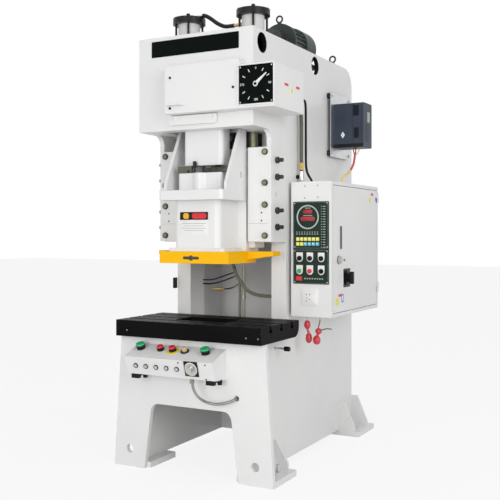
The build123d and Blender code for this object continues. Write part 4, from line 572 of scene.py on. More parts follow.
def hexHead(mesh, at, radius, high, low=0.0):
    lathe(mesh, ((radius, low, 6), (radius, low + high * 0.85, 6), (radius * 0.84, low + high), (0, low + high)),
          at, 24)


def curveMesh(curve):
    holder = bpy.data.objects.new(curve.name, curve)
    link(holder)
    bpy.context.view_layer.update()
    data = bpy.data.meshes.new_from_object(holder)
    bpy.data.objects.remove(holder)
    bpy.data.curves.remove(curve)
    return data


def number(mesh, text, size, at, low):
    curve = bpy.data.curves.new("number", "FONT")
    curve.body = text
    curve.size = size
    curve.extrude = low / 2
    curve.align_x = "CENTER"
    curve.align_y = "CENTER"
    data = curveMesh(curve)
    data.transform(Matrix.Translation((*at, low)))
    mesh.from_mesh(data)
    bpy.data.meshes.remove(data)


def pathPoints(route, fineness=10):
    curve = bpy.data.curves.new("route", "CURVE")
    curve.dimensions = "3D"
    spline = curve.splines.new("NURBS")
    spline.points.add(len(route) - 1)
    for spot, point in zip(spline.points, route):
        spot.co = (*point, 1.0)
    spline.order_u = 3
    spline.use_endpoint_u = True
    spline.resolution_u = fineness
    line = curveMesh(curve)
    points = [vertex.co.copy() for vertex in line.vertices]
    bpy.data.meshes.remove(line)
    return points


def tubeAlong(mesh, points, radiusAt, sides=14):
    # Rings carried along the line without twist; radiusAt takes the length run so far
    tangent = (points[1] - points[0]).normalized()
    across = tangent.orthogonal().normalized()
    rings, run = [], 0.0
    for index, point in enumerate(points):
        if index:
            run += (point - points[index - 1]).length
            tangent = (points[min(index + 1, len(points) - 1)] - points[index - 1]).normalized()
            across = (across - tangent * across.dot(tangent)).normalized()
        other = tangent.cross(across)
        radius = radiusAt(run)
        rings.append([mesh.verts.new(point + radius * (math.cos(angle) * across + math.sin(angle) * other))
                      for angle in turns(sides)])
    bridge(mesh, rings, sides)
    mesh.faces.new(rings[0][::-1])
    mesh.faces.new(rings[-1])


def evenly(points, step):
    spots, rest = [points[0]], 0.0
    for a, b in zip(points, points[1:]):
        length = (b - a).length
        along = step - rest
        while along <= length:
            spots.append(a.lerp(b, along / length))
            along += step
        rest = length - (along - step)
    spots.append(points[-1])
    return spots


# Pieces: a shape is one of the functions above and what it takes after the mesh
def addPiece(place, name, finish, slotName, *shapes, body="frame", sharp=32):
    mesh = bmesh.new()
    for shape, *values in shapes:
        shape(mesh, *values)
    bmesh.ops.recalc_face_normals(mesh, faces=mesh.faces)
    data = bpy.data.meshes.new(name)
    mesh.to_mesh(data)
    mesh.free()
    data.transform(place)
    data.materials.append(finishes[finish])
    data.polygons.foreach_set("use_smooth", [True] * len(data.polygons))
    data.set_sharp_from_angle(angle=math.radians(sharp))
    piece = bpy.data.objects.new(name, data)
    link(piece)
    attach(piece, body)
    return piece


def addPieces(place, *rows, body="frame"):
    for row in rows:
        addPiece(place, *row, body=body)


def hose(name, route, radius, finish, slotName, rib=0.0, ribDeep=0.0, sides=14):
    points = evenly(pathPoints(route), rib / 4 if rib else radius)

    def radiusAt(run):
        return radius - ribDeep * (0.5 - 0.5 * math.cos(2 * math.pi * run / rib)) if rib else radius

    return addPiece(Matrix.Identity(4), name, finish, slotName, (tubeAlong, points, radiusAt, sides), sharp=60)


# Crown: bare name plate, cover screws and a bolt at the side
crownLook = {
    "front": -0.760,
    "plate": (0.608, 0.097, 0.002),
    "plateAt": (0, 2.5485),
    "coverFront": -0.840,
    "coverScrews": ((-0.118, 2.350), (-0.118, 2.169), (0.311, 2.261)),
    "coverScrew": (0.0075, 0.005),
    "side": 0.398,
    "sideBoltAt": (-0.564, 2.145),
    "sideBolt": (0.009, 0.007),
}


def makeCrownDetails(look):
    addPiece(frontOf(look["front"]), "name_plate", "dialBlack", "dial_black",
             (block, look["plate"], look["plateAt"], 0.003, 0.0008))
    addPiece(frontOf(look["coverFront"]), "cover_screws", "blackPaint", "black_paint",
             *[(socketScrew, at, *look["coverScrew"]) for at in look["coverScrews"]])
    addPiece(rightOf(look["side"]), "crown_side_bolt", "darkSteel", "dark_steel",
             (hexHead, look["sideBoltAt"], *look["sideBolt"]))


makeCrownDetails(crownLook)


# Crank angle dial: white rim, eight marks and plain numbers
dialLook = {
    "back": -0.840,
    "rim": (0.236, 0.236, 0.020),
    "rimProud": 0.002,
    "markRadius": 0.088,
    "mark": (0.0045, 0.019, 0.001),
    "numbers": {0: "0", 90: "90", 180: "180", 270: "270"},
    "numberSize": 0.019,
    "screwAt": 0.099,
    "screw": (0.005, 0.003),
    "nut": ((0.0085, 0.0), (0.0085, 0.003), (0.007, 0.005), (0, 0.005)),
}


def makeDial(look):
    low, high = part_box("dial_plate")
    u, v = (low.x + high.x) / 2, (low.z + high.z) / 2
    wide, thick = high.x - low.x, look["back"] - low.y
    addPiece(frontOf(look["back"]), "dial_rim", "slidePaint", "slide_paint",
             (frameSlab, rounded(*look["rim"]), rounded(wide, wide, 0.002), (u, v), thick + look["rimProud"]))
    marks, numbers = [], []
    for degrees in range(0, 360, 30):
        angle = math.radians(degrees)
        at = (u + look["markRadius"] * math.sin(angle), v + look["markRadius"] * math.cos(angle))
        if degrees in look["numbers"]:
            numbers.append((number, look["numbers"][degrees], look["numberSize"], at, 0.0004))
        else:
            marks.append((block, look["mark"], at, 0.0005, 0.0, 0.0, -angle))
    reach = look["screwAt"]
    addPieces(
        frontOf(low.y), ("dial_marks", "printWhite", "slide_paint", *marks, *numbers),
        ("dial_screws", "silver", "machined_steel",
         *[(crossScrew, (u + x, v + z), *look["screw"]) for x in (-reach, reach) for z in (-reach, reach)]))
    addPiece(frontOf(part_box("dial_pointer")[0].y), "pointer_nut", "blackPaint", "black_paint",
             (lathe, look["nut"], (u, v), 24), body="pointer")


makeDial(dialLook)


# Plain coloured stickers: place across and up, width, height, corner radius, finish
stickerLook = {
    "thick": 0.0004,
    "step": 0.0002,
    "camBoxFace": 0.571,
    "camBox": ((-0.681, 2.278, 0.050, 0.015, 0.002, "printRed"), (-0.528, 2.281, 0.046, 0.015, 0.002, "printRed"),
               (-0.608, 2.248, 0.060, 0.044, 0.003, "printWhite"), (-0.608, 2.250, 0.030, 0.028, 0.008, "keyYellow")),
    "doorFace": 0.689,
    "door": ((0.416, 1.692, 0.050, 0.016, 0.005, "printRed"), (0.372, 1.652, 0.040, 0.034, 0.012, "keyYellow"),
             (0.492, 1.668, 0.026, 0.052, 0.012, "printBlue"), (-0.160, 1.045, 0.058, 0.016, 0.004, "printRed"),
             (-0.212, 1.007, 0.060, 0.044, 0.014, "keyYellow"), (-0.122, 1.025, 0.040, 0.056, 0.019, "printBlue"),
             (-0.122, 1.025, 0.022, 0.036, 0.010, "printWhite")),
}


def makeStickers(look):
    for prefix, stickers, face, body in (("cam_box", look["camBox"], look["camBoxFace"], "frame"),
                                         ("door", look["door"], look["doorFace"], "door")):
        for index, (u, v, *size, finish) in enumerate(stickers, 1):
            level = look["thick"] * index / len(stickers) + look["step"]
            addPiece(rightOf(face), f"{prefix}_sticker_{index}", finish, "slide_paint", (block, size, (u, v), level),
                     body=body)


makeStickers(stickerLook)
print("crown dressed")


# Slide: bare sign in colour fields, small parts on the neck, bare plate on the yellow plate
slideLook = {
    "front": -0.737,
    "signLeft": -0.114,
    "signRight": 0.083,
    "signTop": 1.557,
    "signBand": 1.510,
    "signBottom": 1.419,
    "amberAt": -0.28,
    "amber": (0.040, 0.034, 0.012),
    "redAt": 0.19,
    "red": (0.102, 0.034, 0.015),
    "lines": ((0.86, 1.488), (0.69, 1.474), (0.86, 1.460), (0.69, 1.446)),
    "plateFront": -0.770,
    "badgeAt": (-0.016, 1.283),
    "badge": (0.112, 0.017, 0.008),
    "badgeRound": 0.016,
    "neckTop": 1.793,
    "neckFront": -0.672,
    "blockAt": (-0.1085, 1.8145),
    "block": (0.097, 0.040, 0.002),
    "clampAt": (0.110, 1.808),
    "clamp": (0.165, 0.030, 0.002),
    "clampScrews": (0.067, 0.113, 0.154),
    "clampScrewZ": 1.815,
    "clampScrew": (0.007, 0.006),
    "screwAt": (-0.0435, -0.684),
    "screw": ((0.006, 0.0), (0.006, 0.034), (0.0115, 0.035), (0.0115, 0.070), (0.0100, 0.072), (0.006, 0.072, 6),
              (0.006, 0.062, 6), (0, 0.061)),
    "knobAt": (-0.077, 1.804),
    "knob": ((0.007, 0.024), (0.007, 0.034), (0.005, 0.036), (0, 0.036)),
}


def makeSlideDetails(look):
    left, right, top, band, bottom = (look["sign" + side] for side in ("Left", "Right", "Top", "Band", "Bottom"))
    wide, u, bandZ = right - left, (right + left) / 2, (top + band) / 2
    addPieces(
        frontOf(look["front"]),
        ("slide_sign", "whitePlastic", "slide_paint",
         (block, (wide, top - bottom, 0.003), (u, (top + bottom) / 2), 0.0010, 0.0003)),
        ("slide_sign_band", "blackPlastic", "black_plastic", (block, (wide, top - band, 0.003), (u, bandZ), 0.0013)),
        ("slide_sign_amber", "amber", "safety_yellow",
         (block, look["amber"], (u + wide * look["amberAt"], bandZ), 0.0016)),
        ("slide_sign_red", "printRed", "red_plastic",
         (block, look["red"], (u + wide * look["redAt"], bandZ), 0.0016)),
        ("slide_sign_lines", "printGrey", "dark_steel",
         *[(block, (wide * share, 0.0028, 0.001), (u, z), 0.0012) for share, z in look["lines"]]), body="slide")
    addPiece(frontOf(look["plateFront"]), "plate_badge", "darkSteel", "dark_steel",
             (block, look["badge"], look["badgeAt"], 0.0012, 0.0004),
             (slab, disc(look["badgeRound"]), look["badgeAt"], 0.0018, 0.0005), body="slide")
    neck = frontOf(look["neckFront"])
    addPieces(
        neck, ("neck_block", "conduitOlive", "dark_steel", (block, look["block"], look["blockAt"], 0.026, 0.002)),
        ("neck_clamp", "darkSteel", "dark_steel", (block, look["clamp"], look["clampAt"], 0.020, 0.002),
         *[(socketScrew, (x, look["clampScrewZ"]), *look["clampScrew"], 0.020) for x in look["clampScrews"]]),
        body="slide")
    addPiece(topOf(look["neckTop"]), "neck_screw", "blackPaint", "black_paint",
             (lathe, look["screw"], look["screwAt"], 24), body="slide")
    addPiece(neck, "neck_knob", "blackPaint", "black_paint", (lathe, look["knob"], look["knobAt"], 20), body="slide")


makeSlideDetails(slideLook)


# Gib plates: seam line, two tapped holes and four guide bolts' faces a side
gibLook = {
    "front": -0.532,
    "seam": (0.137, 0.0016, 0.0004),
    "seamAt": (0.3095, 1.489),
    "holes": ((0.333, 1.554), (0.333, 1.506)),
    "hole": (0.005, 0.0012),
    "boltFront": -0.541,
    "bolts": ((0.357, 1.918), (0.357, 1.733), (0.357, 1.601), (0.357, 1.416)),
    "rim": ((0.0185, -0.001), (0.0185, 0.002), (0.0165, 0.004), (0.0140, 0.004), (0.0135, 0.0015)),
    "face": ((0.0138, 0.0010), (0.0138, 0.0018), (0.0085, 0.0018, 6), (0.0085, 0.0006, 6), (0, 0.0004)),
}


def makeGibDetails(look):
    def bothSides(spots):
        return [(side * u, v) for side in (-1, 1) for u, v in spots]

    bolts = bothSides(look["bolts"])
    addPieces(
        frontOf(look["front"]),
        ("gib_seams", "printGrey", "dark_steel",
         *[(block, look["seam"], at, 0.0004) for at in bothSides([look["seamAt"]])]),
        ("gib_hole_screws", "darkSteel", "dark_steel",
         *[(socketScrew, at, *look["hole"]) for at in bothSides(look["holes"])]))
    addPieces(
        frontOf(look["boltFront"]),
        ("gib_bolt_rims", "darkSteel", "dark_steel", *[(lathe, look["rim"], at, 24) for at in bolts]),
        ("gib_bolt_faces", "oliveSteel", "dark_steel", *[(lathe, look["face"], at, 24) for at in bolts]))


makeGibDetails(gibLook)
print("slide dressed")


# Operator panel: two framed fields, ring, displays, keys, marks, labels
panelLook = {
    "split": 1.333,
    "splitHalf": 0.002,
    "border": 0.004,
    "borderWide": 0.0022,
    "ringAt": (0.5345, 1.529),
    "ring": ((0.074, 0.0), (0.074, 0.002), (0.0716, 0.003), (0.066, 0.002), (0.066, 0.0)),
    "displays": ((0.5345, 1.562, 0.062, 0.024), (0.5345, 1.5185, 0.094, 0.026)),
    "bars": ((0.5345, 1.584, 0.036, 0.005), (0.5345, 1.5385, 0.060, 0.004)),
    "keyLeft": 0.4680,
    "keyPitch": 0.0263,
    "key": (0.022, 0.022, 0.003),
    "keyRows": (1.394, 1.364),
    "keyMark": (0.008, 0.010, 0.002),
    "yellowKeys": ((0, 0), (0, 1), (0, 2), (0, 3), (0, 4), (0, 5), (1, 0), (1, 1)),
    "blueKeys": ((1, 2), (1, 3), (1, 4), (1, 5)),
    "lampRow": (0.4620, 0.0172, 9, 1.431),
    "lampGap": 0.006,
    "lampLabel": (0.009, 0.006, 0.001),
    "lampRound": 0.0035,
    "column": (0.6365, 1.593, 0.0155, 17),
    "columnLabel": (0.017, 0.0045, 0.001),
    "columnRound": 0.003,
    "nameRow": (0.516, 0.0165, 8, 1.152),
    "nameMark": (0.010, 0.008, 0.001),
    "label": (0.0435, 0.036),
    "labelled": ("selector_left", "selector_middle", "selector_right", "start_button", "stop_button", "key_switch"),
    "redFieldAt": (0.476, 1.152),
    "redField": (0.040, 0.026, 0.002),
    "screwInset": 0.011,
    "screw": (0.0045, 0.0025),
}


def makePanel(look):
    low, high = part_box("control_panel")
    fields = ((low.z, look["split"] - look["splitHalf"]), (look["split"] + look["splitHalf"], high.z))
    border, inset = look["borderWide"], look["screwInset"]
    marks = []
    for bottom, top in fields:
        wide, tall = high.x - low.x - 2 * look["border"], top - bottom - 2 * look["border"]
        marks.append((frameSlab, rounded(wide, tall, 0.004), rounded(wide - border, tall - border, 0.003),
                      ((low.x + high.x) / 2, (bottom + top) / 2), 0.0004))
    marks += [(block, (wide, tall, 0.001), (u, v), 0.0005) for u, v, wide, tall in look["bars"]]
    left, pitch, count, v = look["lampRow"]
    for index in range(count):
        u = left + index * pitch
        marks += [(block, look["lampLabel"], (u, v - look["lampGap"]), 0.0004),
                  (slab, disc(look["lampRound"], 12), (u, v + look["lampGap"]), 0.0012, 0.0004)]
    u, top, pitch, count = look["column"]
    for index in range(count):
        v = top - index * pitch
        marks += [(block, look["columnLabel"], (u + 0.007, v), 0.0004),
                  (slab, disc(look["columnRound"], 12), (u - 0.010, v), 0.0012, 0.0004)]
    left, pitch, count, v = look["nameRow"]
    marks += [(block, look["nameMark"], (left + index * pitch, v), 0.0004) for index in range(count)]

    def keys(size, spots, *rest, u=0.0, v=0.0):
        return [(block, look[size], (look["keyLeft"] + column * look["keyPitch"] + u, look["keyRows"][row] + v), *rest)
                for row, column in spots]

    centres = [(low + high) / 2 for low, high in map(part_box, look["labelled"])]
    corners = [(u, v) for bottom, top in fields for u in (low.x + inset, high.x - inset)
               for v in (bottom + inset, top - inset)]
    addPieces(
        frontOf(low.y), ("panel_marks", "printGrey", "panel_green", *marks),
        ("panel_ring", "printPale", "galvanised", (lathe, look["ring"], look["ringAt"], 64)),
        ("panel_displays", "displayRed", "red_plastic",
         *[(block, (wide, tall, tall * 0.42, 6), (u, v), 0.002, 0.0006)
           for u, v, wide, tall in look["displays"]]),
        ("panel_keys_yellow", "keyYellow", "panel_green", *keys("key", look["yellowKeys"], 0.0014, 0.0006)),
        ("panel_keys_blue", "keyBlue", "panel_green", *keys("key", look["blueKeys"], 0.0014, 0.0006)),
        ("panel_key_marks", "printWhite", "slide_paint",
         *keys("keyMark", [(row, column) for row in (0, 1) for column in range(6)], 0.0017, u=-0.003, v=0.002)),
        ("panel_labels", "printWhite", "slide_paint",
         *[(slab, archLabel(*look["label"]), (centre.x, centre.z), 0.0008) for centre in centres]),
        ("panel_red_field", "printRed", "red_plastic", (block, look["redField"], look["redFieldAt"], 0.0006)),
        ("panel_screws", "silver", "machined_steel", *[(crossScrew, at, *look["screw"]) for at in corners]))


makePanel(panelLook)


# Cabinet: front screws, socket outlet, bracket under it, latch and isolator plate
cabinetLook = {
    "front": -0.300,
    "screws": ((0.5135, 1.720), (0.600, 1.7235), (0.5135, 1.646), (0.600, 1.650)),
    "screw": (0.006, 0.003),
    "socketAt": (0.5475, 1.037),
    "socket": (0.104, 0.100, 0.003),
    "socketInner": (0.0832, 0.080, 0.004),
    "pinHoles": ((-0.022, 0.018, 0.0045, 0.009, 0.0), (0.000, 0.018, 0.0045, 0.009, 0.0),
                 (-0.018, -0.004, 0.010, 0.003, 0.0), (-0.001, -0.012, 0.008, 0.003, 0.9),
                 (-0.022, -0.022, 0.008, 0.003, -0.9)),
    "bracket": (0.600, 0.500),
    "under": 0.917,
    "side": 0.689,
    "latchAt": (-0.188, 1.265),
    "collar": ((0.027, 0.0), (0.027, 0.003), (0.0225, 0.005), (0.0215, 0.005)),
    "wing": 0.727,
    "key": ((0.0065, 0.0), (0.0065, 0.0012), (0.005, 0.0016), (0, 0.0016)),
    "plateFace": 0.693,
    "isolatorAt": (-0.062, 1.150),
    "isolator": (0.112, 0.116),
    "isolatorRound": 0.0475,
}


def makeCabinetDetails(look):
    u, v = look["socketAt"]
    x, y = look["bracket"]
    addPieces(
        frontOf(look["front"]),
        ("cabinet_screws", "silver", "machined_steel",
         *[(crossScrew, at, *look["screw"]) for at in look["screws"]]),
        ("socket_outlet", "whitePlastic", "slide_paint", (block, look["socket"], (u, v), 0.006, 0.001),
         (block, look["socketInner"], (u, v), 0.0068, 0.0004, 0.006)),
        ("socket_pin_holes", "blackPlastic", "black_plastic",
         *[(block, (wide, tall, min(wide, tall) * 0.45), (u + right, v + up), 0.0071, 0.0, 0.0066, turn)
           for right, up, wide, tall, turn in look["pinHoles"]]))
    addPiece(topOf(look["under"]), "cabinet_bracket", "darkSteel", "dark_steel",
             (block, (0.060, 0.120, 0.004), (x, y), 0.0, 0.001, -0.003),
             (block, (0.003, 0.120, 0.001), (x - 0.028, y), -0.003, 0.0, -0.026),
             (lathe, ((0.007, -0.014), (0.007, -0.003)), (x + 0.008, y - 0.030), 16))
    addPiece(rightOf(look["side"]), "latch_collar", "conduitGrey", "chrome_trim",
             (lathe, look["collar"], look["latchAt"]), body="door")
    addPiece(rightOf(look["wing"]), "latch_key", "blackPlastic", "black_plastic",
             (lathe, look["key"], look["latchAt"], 24), body="latch")
    addPiece(rightOf(look["plateFace"]), "isolator_frame", "blackPlastic", "black_plastic",
             (frameSlab, squareSpots(*look["isolator"]), disc(look["isolatorRound"], 64), look["isolatorAt"], 0.0015),
             body="door")


makeCabinetDetails(cabinetLook)
print("cabinet dressed")


# Inverter: cover lines, keypad, ribs, plain diamond, side label and its three wires
inverterLook = {
    "keypadAt": (0.597, 2.266),
    "keypad": (0.040, 0.070, 0.004),
    "keypadLines": (-0.026, 0.013, 5),
    "keypadLine": (0.028, 0.0022, 0.001),
    "lowPadAt": (0.600, 2.113),
    "lowPad": (0.034, 0.070, 0.004),
    "strips": ((0.634, 0.0015, 0.0006), (0.570, 0.0012, 0.0005)),
    "diamondAt": (0.500, 2.102),
    "diamond": (0.030, 0.046),
    "diamondMark": (0.006, 0.010, 0.002),
    "labelAt": (0.452, 2.225),
    "label": (0.050, 0.070, 0.004),
    "ribs": (0.045, 0.014, 9),
    "rib": (0.090, 0.005, 0.002),
    "merge": (0.560, 0.430, 1.965),
    "strands": ((0.548, "wireRed"), (0.566, "wireBrown"), (0.592, "sleeveYellow")),
    "strandRadius": 0.0042,
    "red": ((0.560, 0.430, 1.975), (0.558, 0.424, 1.930), (0.554, 0.402, 1.886), (0.549, 0.364, 1.852)),
    "redRadius": 0.0075,
    "yellow": ((0.550, 0.372, 1.858), (0.546, 0.338, 1.836), (0.541, 0.290, 1.820), (0.539, 0.256, 1.800),
               (0.538, 0.240, 1.778), (0.538, 0.236, 1.747)),
    "yellowRadius": 0.0078,
}


def makeInverterDetails(look):
    low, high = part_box("inverter")
    middleZ = (low.z + high.z) / 2 + 0.012
    u, v = look["keypadAt"]
    first, pitch, count = look["keypadLines"]
    parts = [(block, look["keypad"], (u, v), 0.002, 0.0006), (block, look["lowPad"], look["lowPadAt"], 0.002, 0.0006),
             (block, (high.x - low.x - 0.002, 0.024, 0.003), ((low.x + high.x) / 2, low.z + 0.013), 0.003, 0.001)]
    parts += [(block, look["keypadLine"], (u, v + first + pitch * index), 0.0026, 0.0, 0.002)
              for index in range(count)]
    parts += [(block, (wide, high.z - low.z - 0.030, 0.0004), (x, middleZ), proud) for x, wide, proud in look["strips"]]
    wide, tall = look["diamond"]
    diamond = [(wide / 2, 0), (0, tall / 2), (-wide / 2, 0), (0, -tall / 2)]
    addPieces(
        frontOf(low.y), ("inverter_front_parts", "inverterDark", "inverter_blue", *parts),
        ("inverter_diamond", "printWhite", "slide_paint", (slab, diamond, look["diamondAt"], 0.0006)),
        ("inverter_diamond_mark", "printGrey", "dark_steel",
         (block, look["diamondMark"], look["diamondAt"], 0.0009)))
    first, pitch, count = look["ribs"]
    addPieces(
        rightOf(high.x),
        ("inverter_label", "printGrey", "slide_paint", (block, look["label"], look["labelAt"], 0.0006)),
        ("inverter_side_ribs", "inverterDark", "inverter_blue",
         *[(block, look["rib"], ((low.y + high.y) / 2, low.z + first + pitch * index), 0.0015, 0.0005)
           for index in range(count)]))

    mergeX, mergeY, mergeZ = look["merge"]
    for x, finish in look["strands"]:
        route = ((x, mergeY, low.z + 0.004), (x, mergeY, low.z - 0.016),
                 (mergeX + (x - mergeX) * 0.4, mergeY, mergeZ + 0.012), (mergeX, mergeY, mergeZ - 0.010))
        hose(f"inverter_strand_{finish}", route, look["strandRadius"], finish, "conduit_black", sides=10)
    hose("inverter_cable_red", look["red"], look["redRadius"], "wireRed", "conduit_black")
    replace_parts(hose("inverter_cable_yellow", look["yellow"], look["yellowRadius"], "sleeveYellow", "conduit_black"),
                "inverter_cable")


makeInverterDetails(inverterLook)


# Console: yellow ring, lamp, blank plugs, switch plate, screws and connectors
consoleLook = {
    "back": (-0.806, 0.762),
    "ridge": (-0.962, 0.703),
    "low": (-0.930, 0.597),
    "emergencyAt": (-0.078, -0.068),
    "ring": ((0.0385, 0.0), (0.0385, 0.0016), (0.0225, 0.0022), (0.0225, 0.0)),
    "lampAt": (0.006, -0.068),
    "lamp": ((0.0158, 0.009), (0.0162, 0.020), (0.0150, 0.0275), (0.0110, 0.0315), (0, 0.0330)),
    "plugs": (-0.288, 0.072, 5, -0.056),
    "plugRing": ((0.0150, 0.0), (0.0150, 0.0058), (0.0135, 0.0064), (0.0105, 0.0062)),
    "plugCentre": ((0.0105, 0.0058), (0.0098, 0.0068), (0, 0.0070)),
    "switchAt": (0.100, -0.046),
    "switchSquare": (0.0906, 0.0906, 0.003),
    "switchDisc": 0.041,
    "screws": ((0.015, -0.015), (0.196, -0.015), (0.189, -0.104)),
    "screw": (0.0045, 0.003),
    "under": 0.5955,
    "connectors": (-0.310, 0.207),
    "socket": ((0, -0.030), (0.012, -0.030), (0.014, -0.028), (0.014, 0.0)),
}


def makeConsoleDetails(look):
    (backY, backZ), (ridgeY, ridgeZ), (lowY, lowZ) = look["back"], look["ridge"], look["low"]
    lower = facing((0, ridgeY, ridgeZ), (1, 0, 0), (0, ridgeY - lowY, ridgeZ - lowZ))
    first, pitch, count, down = look["plugs"]
    plugSpots = [(first + index * pitch, down) for index in range(count)]
    addPieces(
        facing((0, backY, backZ), (1, 0, 0), (0, backY - ridgeY, backZ - ridgeZ)),
        ("emergency_ring", "yellowPlastic", "safety_yellow", (lathe, look["ring"], look["emergencyAt"], 40)),
        ("console_lamp_lens", "lampLens", "red_plastic", (lathe, look["lamp"], look["lampAt"], 28)))
    addPieces(
        lower,
        ("console_plug_rings", "darkSteel", "galvanised", *[(lathe, look["plugRing"], at, 28) for at in plugSpots]),
        ("console_plug_centres", "silver", "galvanised", *[(lathe, look["plugCentre"], at, 28) for at in plugSpots]),
        ("switch_plate", "blackPlastic", "black_plastic",
         (block, look["switchSquare"], look["switchAt"], 0.0056, 0.0006)),
        ("switch_disc", "printWhite", "slide_paint",
         (slab, disc(look["switchDisc"], 48), look["switchAt"], 0.0068, 0.0005, 0.0056)))
    connectors = []
    for x in look["connectors"]:
        connectors += [(block, (0.052, 0.030, 0.003), (x, -0.912), 0.0, 0.0, -0.026),
                       (block, (0.016, 0.060, 0.003), (x + 0.016, -0.885), 0.0, 0.0, -0.014),
                       (lathe, look["socket"], (x + 0.030, -0.862), 24)]
    addPiece(topOf(look["under"]), "console_connectors", "blackPlastic", "black_plastic", *connectors)
    addPiece(lower, "console_screws", "blackPaint", "black_paint",
             *[(socketScrew, at, *look["screw"]) for at in look["screws"]])


makeConsoleDetails(consoleLook)
print("console dressed")


# Riser conduit with its ribs, glands and the cable beside it
riserLook = {
    "at": (0.430, -0.171),
    "foot": 1.747,
    "main": ((0.430, -0.171, 1.765), (0.430, -0.171, 2.020), (0.430, -0.171, 2.120), (0.430, -0.176, 2.188),
             (0.433, -0.223, 2.256), (0.438, -0.306, 2.276), (0.440, -0.361, 2.266), (0.440, -0.445, 2.262)),
    "radius": 0.0128,
    "rib": 0.0052,
    "ribDeep": 0.0011,
    "side": ((0.398, -0.127, 2.268), (0.416, -0.128, 2.280), (0.434, -0.133, 2.276), (0.446, -0.139, 2.250),
             (0.446, -0.139, 2.060), (0.446, -0.139, 1.880), (0.450, -0.137, 1.826), (0.464, -0.130, 1.790),
             (0.479, -0.121, 1.768), (0.480, -0.120, 1.747)),
    "sideRadius": 0.0075,
    "gland": ((0.020, 0.0, 6), (0.020, 0.018, 6), (0.0165, 0.020), (0.0165, 0.034), (0.0145, 0.036),
              (0.0145, 0.073), (0.0128, 0.075)),
    "nut": ((0.0126, 0.083), (0.018, 0.084, 6), (0.018, 0.128, 6), (0.0126, 0.130)),
    "plugBack": 0.368,
    "plugAt": (-0.171, 1.787),
    "plug": ((0.010, 0.0), (0.010, 0.024), (0.013, 0.026), (0.013, 0.050), (0.010, 0.052), (0, 0.052)),
    "topFace": -0.445,
    "topAt": (0.440, 2.262),
    "topGland": ((0.019, 0.0, 6), (0.019, 0.014, 6), (0.0150, 0.018), (0.0150, 0.030)),
}


def makeRiser(look):
    main = hose("riser_hose", look["main"], look["radius"], "conduitOlive", "conduit_black", look["rib"],
                look["ribDeep"], 18)
    hose("riser_side_cable", look["side"], look["sideRadius"], "blackRubber", "conduit_black")
    addPieces(
        topOf(look["foot"]), ("riser_gland", "silver", "galvanised", (lathe, look["gland"], look["at"], 24)),
        ("riser_nut", "brass", "galvanised", (lathe, look["nut"], look["at"], 24)))
    addPiece(rightOf(look["plugBack"]), "riser_plug", "blackPlastic", "black_plastic",
             (lathe, look["plug"], look["plugAt"], 24))
    crownEnd = facing((0, look["topFace"], 0), (-1, 0, 0), (0, 0, 1)) @ Matrix.Scale(-1, 4, (1, 0, 0))
    addPiece(crownEnd, "riser_top_gland", "silver", "galvanised", (lathe, look["topGland"], look["topAt"], 24))
    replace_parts(main, "riser_conduit")


makeRiser(riserLook)
print("conduits dressed")


# Small parts: bolster front screws, side knob, box on the left plate, ends of the air hose
smallLook = {
    "bolsterScrews": ((-0.418, 0.842), (0.4055, 0.841), (0.4815, 0.841)),
    "bolsterScrew": (0.0050, 0.002),
    "bolsterFront": -0.860,
    "knobAt": (0.398, -0.486, 0.740),
    "knobRod": ((0.010, 0.0), (0.010, 0.004), (0.006, 0.005), (0.006, 0.064)),
    "knob": ((0, 0.063), (0.011, 0.064), (0.0145, 0.067), (0.0145, 0.096), (0.0120, 0.101), (0, 0.102)),
    "leftSide": -0.398,
    "boxAt": (0.352, 1.102),
    "box": (0.034, 0.070, 0.004),
    "hoseEndAt": (-0.190, -0.448, 2.812),
    "hoseEnd": ((0.0075, 0.0), (0.0125, 0.0005, 6), (0.0125, 0.014, 6), (0.0105, 0.016), (0.0105, 0.060),
                (0.0085, 0.062)),
    "hoseFootAt": (0.098, -0.448, 2.7225),
    "hoseFoot": ((0.0085, 0.0), (0.0105, 0.002), (0.0105, 0.042), (0.0125, 0.044, 6), (0.0125, 0.060, 6),
                 (0.0075, 0.062)),
    "elbow": ((-0.275, -0.492, 2.801), (-0.275, -0.492, 2.812), (-0.262, -0.485, 2.815), (-0.192, -0.448, 2.8125)),
    "elbowRadius": 0.0075,
    "hoseRun": ((-0.130, -0.448, 2.813), (-0.112, -0.447, 2.810), (-0.084, -0.442, 2.794), (-0.060, -0.441, 2.776),
                (-0.036, -0.440, 2.757), (-0.010, -0.441, 2.742), (0.016, -0.442, 2.729), (0.040, -0.445, 2.723),
                (0.066, -0.448, 2.721), (0.100, -0.448, 2.7225)),
    "hoseRadius": 0.0128,
}


def makeSmallParts(look):
    addPiece(frontOf(look["bolsterFront"]), "bolster_screws", "conduitGrey", "machined_steel",
             *[(socketScrew, at, *look["bolsterScrew"]) for at in look["bolsterScrews"]])
    addPieces(
        facing(look["knobAt"], (0, 1, 0), (0, 0, 1)),
        ("side_knob_rod", "silver", "machined_steel", (lathe, look["knobRod"], (0, 0), 20)),
        ("side_knob", "blackPlastic", "black_plastic", (lathe, look["knob"], (0, 0), 28)))
    addPiece(facing((look["leftSide"], 0, 0), (0, -1, 0), (0, 0, 1)), "left_junction_box", "blackPlastic",
             "black_plastic", (block, look["box"], look["boxAt"], 0.013, 0.003))
    for name, place, profile, finish in (("hose_end", "hoseEndAt", "hoseEnd", "chrome"),
                                         ("hose_foot", "hoseFootAt", "hoseFoot", "brass")):
        addPiece(facing(look[place], (0, 1, 0), (0, 0, 1)), name, finish, "galvanised",
                 (lathe, look[profile], (0, 0), 24))
    hose("hose_elbow", look["elbow"], look["elbowRadius"], "chrome", "galvanised")
    hose("air_hose_cover", look["hoseRun"], look["hoseRadius"], "hoseBlack", slotOf["air_lines"])


makeSmallParts(smallLook)


